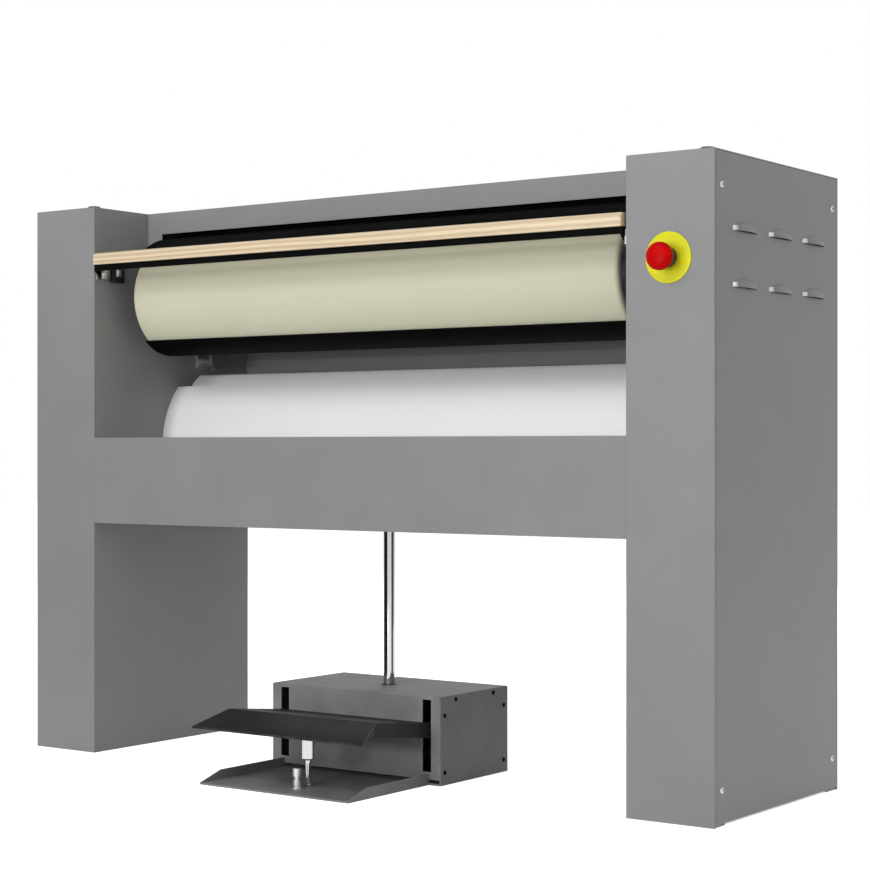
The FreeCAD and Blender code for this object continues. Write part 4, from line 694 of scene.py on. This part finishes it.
def cover_screws():
    """Socket screws at the side covers' corners and on the pedal box's side plates."""
    shapes = [socket_screw(at(side * OUTER_WALL, s, z), side, 5.0, 2.8, 2.3)
              for side in (-1, 1) for s in (22, 393) for z in (52, 919.5)]
    piece("cover_screws", joined(shapes), "zinc_steel", "frame", ("side_cover_screws",))
    places = [(79.5, 20.5), (79.5, 112), (249.5, 20.5), (249.5, 112), (110.5, 135.5),
              (218.5, 135.5)]
    shapes = [socket_screw(at(x, s, z), side, 3.6, 1.8, 1.6)
              for side, x in ((-1, -187), (1, 163)) for s, z in places]
    piece("box_screws", joined(shapes), "black_steel", "frame", ("pedal_box_screws",))


def emergency_stop():
    """A dished yellow plate, a ringed collar and a mushroom head with a grip edge."""
    centre = at(616, 0, 817)
    plate = [(-0.1, 11.3), (-0.1, 37.2), (-1.2, 37.5), (-1.8, 37.0), (-2.0, 36.2), (-2.0, 33.0),
             (-1.6, 32.4), (-1.6, 20.6), (-2.0, 20.0), (-2.0, 11.3), (-0.1, 11.3)]
    shape, _ = lathe(plate, "y", centre, 96)
    piece("stop_ring", shape, "yellow_plastic", "frame", ("stop_plate",), 30.0)
    collar = [(2.0, 8.2), (2.0, 11.0), (-2.0, 11.0), (-2.0, 15.0), (-4.5, 15.0), (-5.0, 14.4),
              (-5.6, 14.4), (-6.1, 15.0), (-10.2, 15.0), (-11.0, 14.2), (-11.0, 8.2), (2.0, 8.2)]
    shape, _ = lathe(collar, "y", centre, 64)
    piece("stop_neck", shape, "black_plastic", "frame", ("stop_collar",), 30.0)
    head = [(-16.1, 8.2), (-16.1, 12.6), (-19.0, 14.6), (-21.0, 18.0), (-22.4, 20.0),
            (-24.0, 20.4), (-29.5, 20.4), (-31.6, 19.8), (-34.0, 18.0), (-36.2, 14.8),
            (-37.4, 11.0), (-37.9, 6.0), (-38.0, 2.0)]

    def grip(number, angle):
        return 1.0 + 0.012 * math.cos(18 * angle) if number in (5, 6) else 1.0

    shape, rings = lathe(head, "y", centre, 108, grip)
    capped(shape, rings[0], rings[-1])
    piece("stop_button", shape, "red_plastic", "stop_head", ("stop_head",), 40.0)


def wooden_guard():
    """The finger guard: planed wood with rounded arrises and sawn, softened ends."""
    shape = cad_shape("wooden_bar")
    bevelled(shape, lambda edge: edge.calc_face_angle(0) > math.radians(20), 1.6, 3)
    piece("guard_bar", shape, "wood", "guard_bar", ("wooden_bar",), 50.0)


def rounded_plate(centre, side, wide, tall, thick):
    """A small upright plate with rounded corners, thick along X; side is the way it faces."""
    radius = 1.2
    shape = bmesh.new()
    outline = []
    for corner, (across, up) in enumerate(((1, 1), (-1, 1), (-1, -1), (1, -1))):
        middle = (across * (wide / 2 - radius), up * (tall / 2 - radius))
        outline += arc(middle, radius, corner * 90, corner * 90 + 90, 4)
    rings = [[shape.verts.new(centre + Vector((side * depth, s * draft, z * draft)) / 1000)
              for s, z in outline]
             for depth, draft in ((-0.3, 1.0), (thick - 0.3, 1.0), (thick, 0.95))]
    skin(shape, rings)
    return capped(shape, rings[0], rings[-1])


def guard_fittings():
    """Zinc washers on the guard bar's pivots and the sprung plunger plates of its switches."""
    lug_face, switch_face = 536.5, 536
    hub = [(0.05, 4.2), (0.05, 8.4), (-0.9, 8.8), (-1.5, 8.4), (-1.5, 5.2), (-2.3, 4.9),
           (-3.1, 3.4), (-3.3, 0.4)]
    dome = [(0.8, 4.2), (1.4, 4.0), (2.0, 3.0), (2.3, 1.2), (2.35, 0.2)]
    washers, plungers = [], []
    for side in (-1, 1):
        pivot, plunger = at(side * lug_face, *GUARD_PIVOT), at(side * switch_face, *SWITCH_PLUNGER)
        shape, rings = lathe([(side * d, r) for d, r in hub], "x", pivot, 32)
        washers.append(capped(shape, rings[0], rings[-1]))
        washers.append(rounded_plate(pivot, -side, 20, 20, 0.6))
        plungers.append(rounded_plate(plunger, -side, 13, 13, 0.9))
        shape, rings = lathe([(-side * d, r) for d, r in dome], "x", plunger, 24)
        plungers.append(capped(shape, rings[0], rings[-1]))
    piece("guard_pivot_washers", joined(washers), "zinc_steel", "guard_bar")
    piece("switch_plungers", joined(plungers), "zinc_steel", "frame")


# ---- studio -----------------------------------------------------------------------------


def flat_sheet(name, material, half_width, half_depth):
    """A flat object in the X-Y plane, its middle at the origin."""
    shape = bmesh.new()
    bmesh.ops.create_grid(shape, x_segments=1, y_segments=1, size=1.0)
    bmesh.ops.scale(shape, vec=(half_width, half_depth, 1.0), verts=shape.verts)
    mesh = bpy.data.meshes.new(name)
    shape.to_mesh(mesh)
    shape.free()
    mesh.materials.append(material)
    return bpy.data.objects.new(name, mesh)


def studio_floor():
    """A pale floor that keeps the shadow and is white where seen directly or mirrored."""
    finish = Finish("studio_floor", Roughness=0.9, Specular_IOR_Level=0.0)
    graph = finish.graph
    finish.colour((0.75, 0.75, 0.75, 1))
    seen = graph.add("ShaderNodeLightPath").outputs
    direct = graph.math("MAXIMUM", seen["Is Camera Ray"], seen["Is Glossy Ray"])
    finish.shader.inputs["Emission Color"].default_value = (1, 1, 1, 1)
    graph.feed(finish.shader.inputs["Emission Strength"], graph.math("MULTIPLY", direct, 0.87))
    floor = flat_sheet("studio_floor", finish.material, 14.0, 14.0)
    bpy.context.scene.collection.objects.link(floor)


def studio_world(ambient):
    """White where seen or mirrored, and dimmer light on everything else."""
    world = bpy.data.worlds.new("studio")
    world.use_nodes = True
    bpy.context.scene.world = world
    graph = Graph(world.node_tree)
    seen = graph.add("ShaderNodeLightPath").outputs
    shown = graph.math("MAXIMUM", seen["Is Camera Ray"], graph.math(
        "MAXIMUM", seen["Is Glossy Ray"], seen["Is Transmission Ray"]))
    strength = graph.math("ADD", graph.math("MULTIPLY", shown, 1.0 - ambient), ambient)
    background = world.node_tree.nodes["Background"]
    background.inputs["Color"].default_value = (1, 1, 1, 1)
    graph.feed(background.inputs["Strength"], strength)


def soft_lamp(name, place, target, size, power, tint, mirrored=True):
    data = bpy.data.lights.new(name, "AREA")
    data.shape = "RECTANGLE"
    data.size, data.size_y = size
    data.energy = power
    data.color = tint
    lamp = bpy.data.objects.new(name, data)
    lamp.location = place
    aim = Vector(target) - Vector(place)
    lamp.rotation_euler = aim.to_track_quat("-Z", "Y").to_euler()
    lamp.visible_camera = False
    lamp.visible_glossy = mirrored
    bpy.context.scene.collection.objects.link(lamp)


def studio_flag(name, bearing, distance, half_width, height):
    """A dark board beside the set that only polished surfaces mirror, as in a product studio.

    bearing is in degrees from straight ahead of the machine, positive towards its right.
    """
    finish = Finish(name, Roughness=1.0, Specular_IOR_Level=0.0)
    cloth = finish.use("powder_grain", Scale=300.0)
    finish.colour(finish.graph.mix(cloth["Speckle"], grey(0.01), grey(0.02)))
    board = flat_sheet(name, finish.material, half_width, height / 2)
    turn = math.radians(bearing)
    board.location = (distance * math.sin(turn), -distance * math.cos(turn), height / 2)
    board.rotation_euler = (math.radians(90), 0, turn)
    for ray in ("camera", "diffuse", "transmission", "volume_scatter", "shadow"):
        setattr(board, "visible_" + ray, False)
    bpy.context.scene.collection.objects.link(board)


def studio():
    studio_floor()
    studio_world(0.36)
    cool, plain = (0.97, 0.99, 1.0), (1.0, 1.0, 1.0)
    soft_lamp("key", (0.0, -2.4, 2.5), (0.0, 0.0, 0.8), (1.8, 0.7), 19, (0.99, 0.995, 1.0))
    soft_lamp("front_fill", (0.0, -3.4, 1.6), (0.0, 0.0, 0.7), (1.6, 0.8), 21, cool)
    soft_lamp("low_fill", (0.1, -3.4, 0.62), (0.0, 0.0, 0.7), (1.6, 0.3), 29, cool)
    soft_lamp("side_fill", (4.4, -0.3, 1.4), (0.7, 0.0, 0.5), (1.4, 1.4), 27, (1.0, 0.985, 0.965))
    soft_lamp("back_fill", (-1.2, 4.2, 2.2), (0.0, 0.0, 0.5), (2.4, 1.6), 95, plain,
              mirrored=False)
    studio_flag("left_flag", -38, 1.25, 0.8, 0.9)
    studio_flag("right_flag", 104, 2.6, 1.1, 1.6)
    soft_lamp("left_fill", (-4.4, 0.4, 1.6), (0.0, 0.0, 0.5), (1.4, 1.4), 44, plain,
              mirrored=False)
    camera_data = bpy.data.cameras.new("camera")
    camera_data.lens = 83.83
    camera_data.sensor_width = 36.0
    camera_data.shift_y = 0.0141
    camera = bpy.data.objects.new("camera", camera_data)
    camera.location = (2.048, -2.707, 0.543)
    camera.rotation_euler = (math.radians(90), 0, math.radians(35.70))
    bpy.context.scene.collection.objects.link(camera)
    bpy.context.scene.camera = camera
    bpy.context.scene.view_settings.view_transform = "Standard"


def finish_cad_nodes():
    """Every CAD node that still shows gets its full material."""
    for name, thing in NODES.items():
        for slot in thing.material_slots:
            slot.material = MATERIALS[SLOT_OF[name]]


studio()
finish_cad_nodes()
sheet_metal()
linen_slide()
roller_cover()
shoe_blanket()
cover_screws()
rear_screws()
louvre_glint_shoulders()
guard_fittings()
emergency_stop()
wooden_guard()
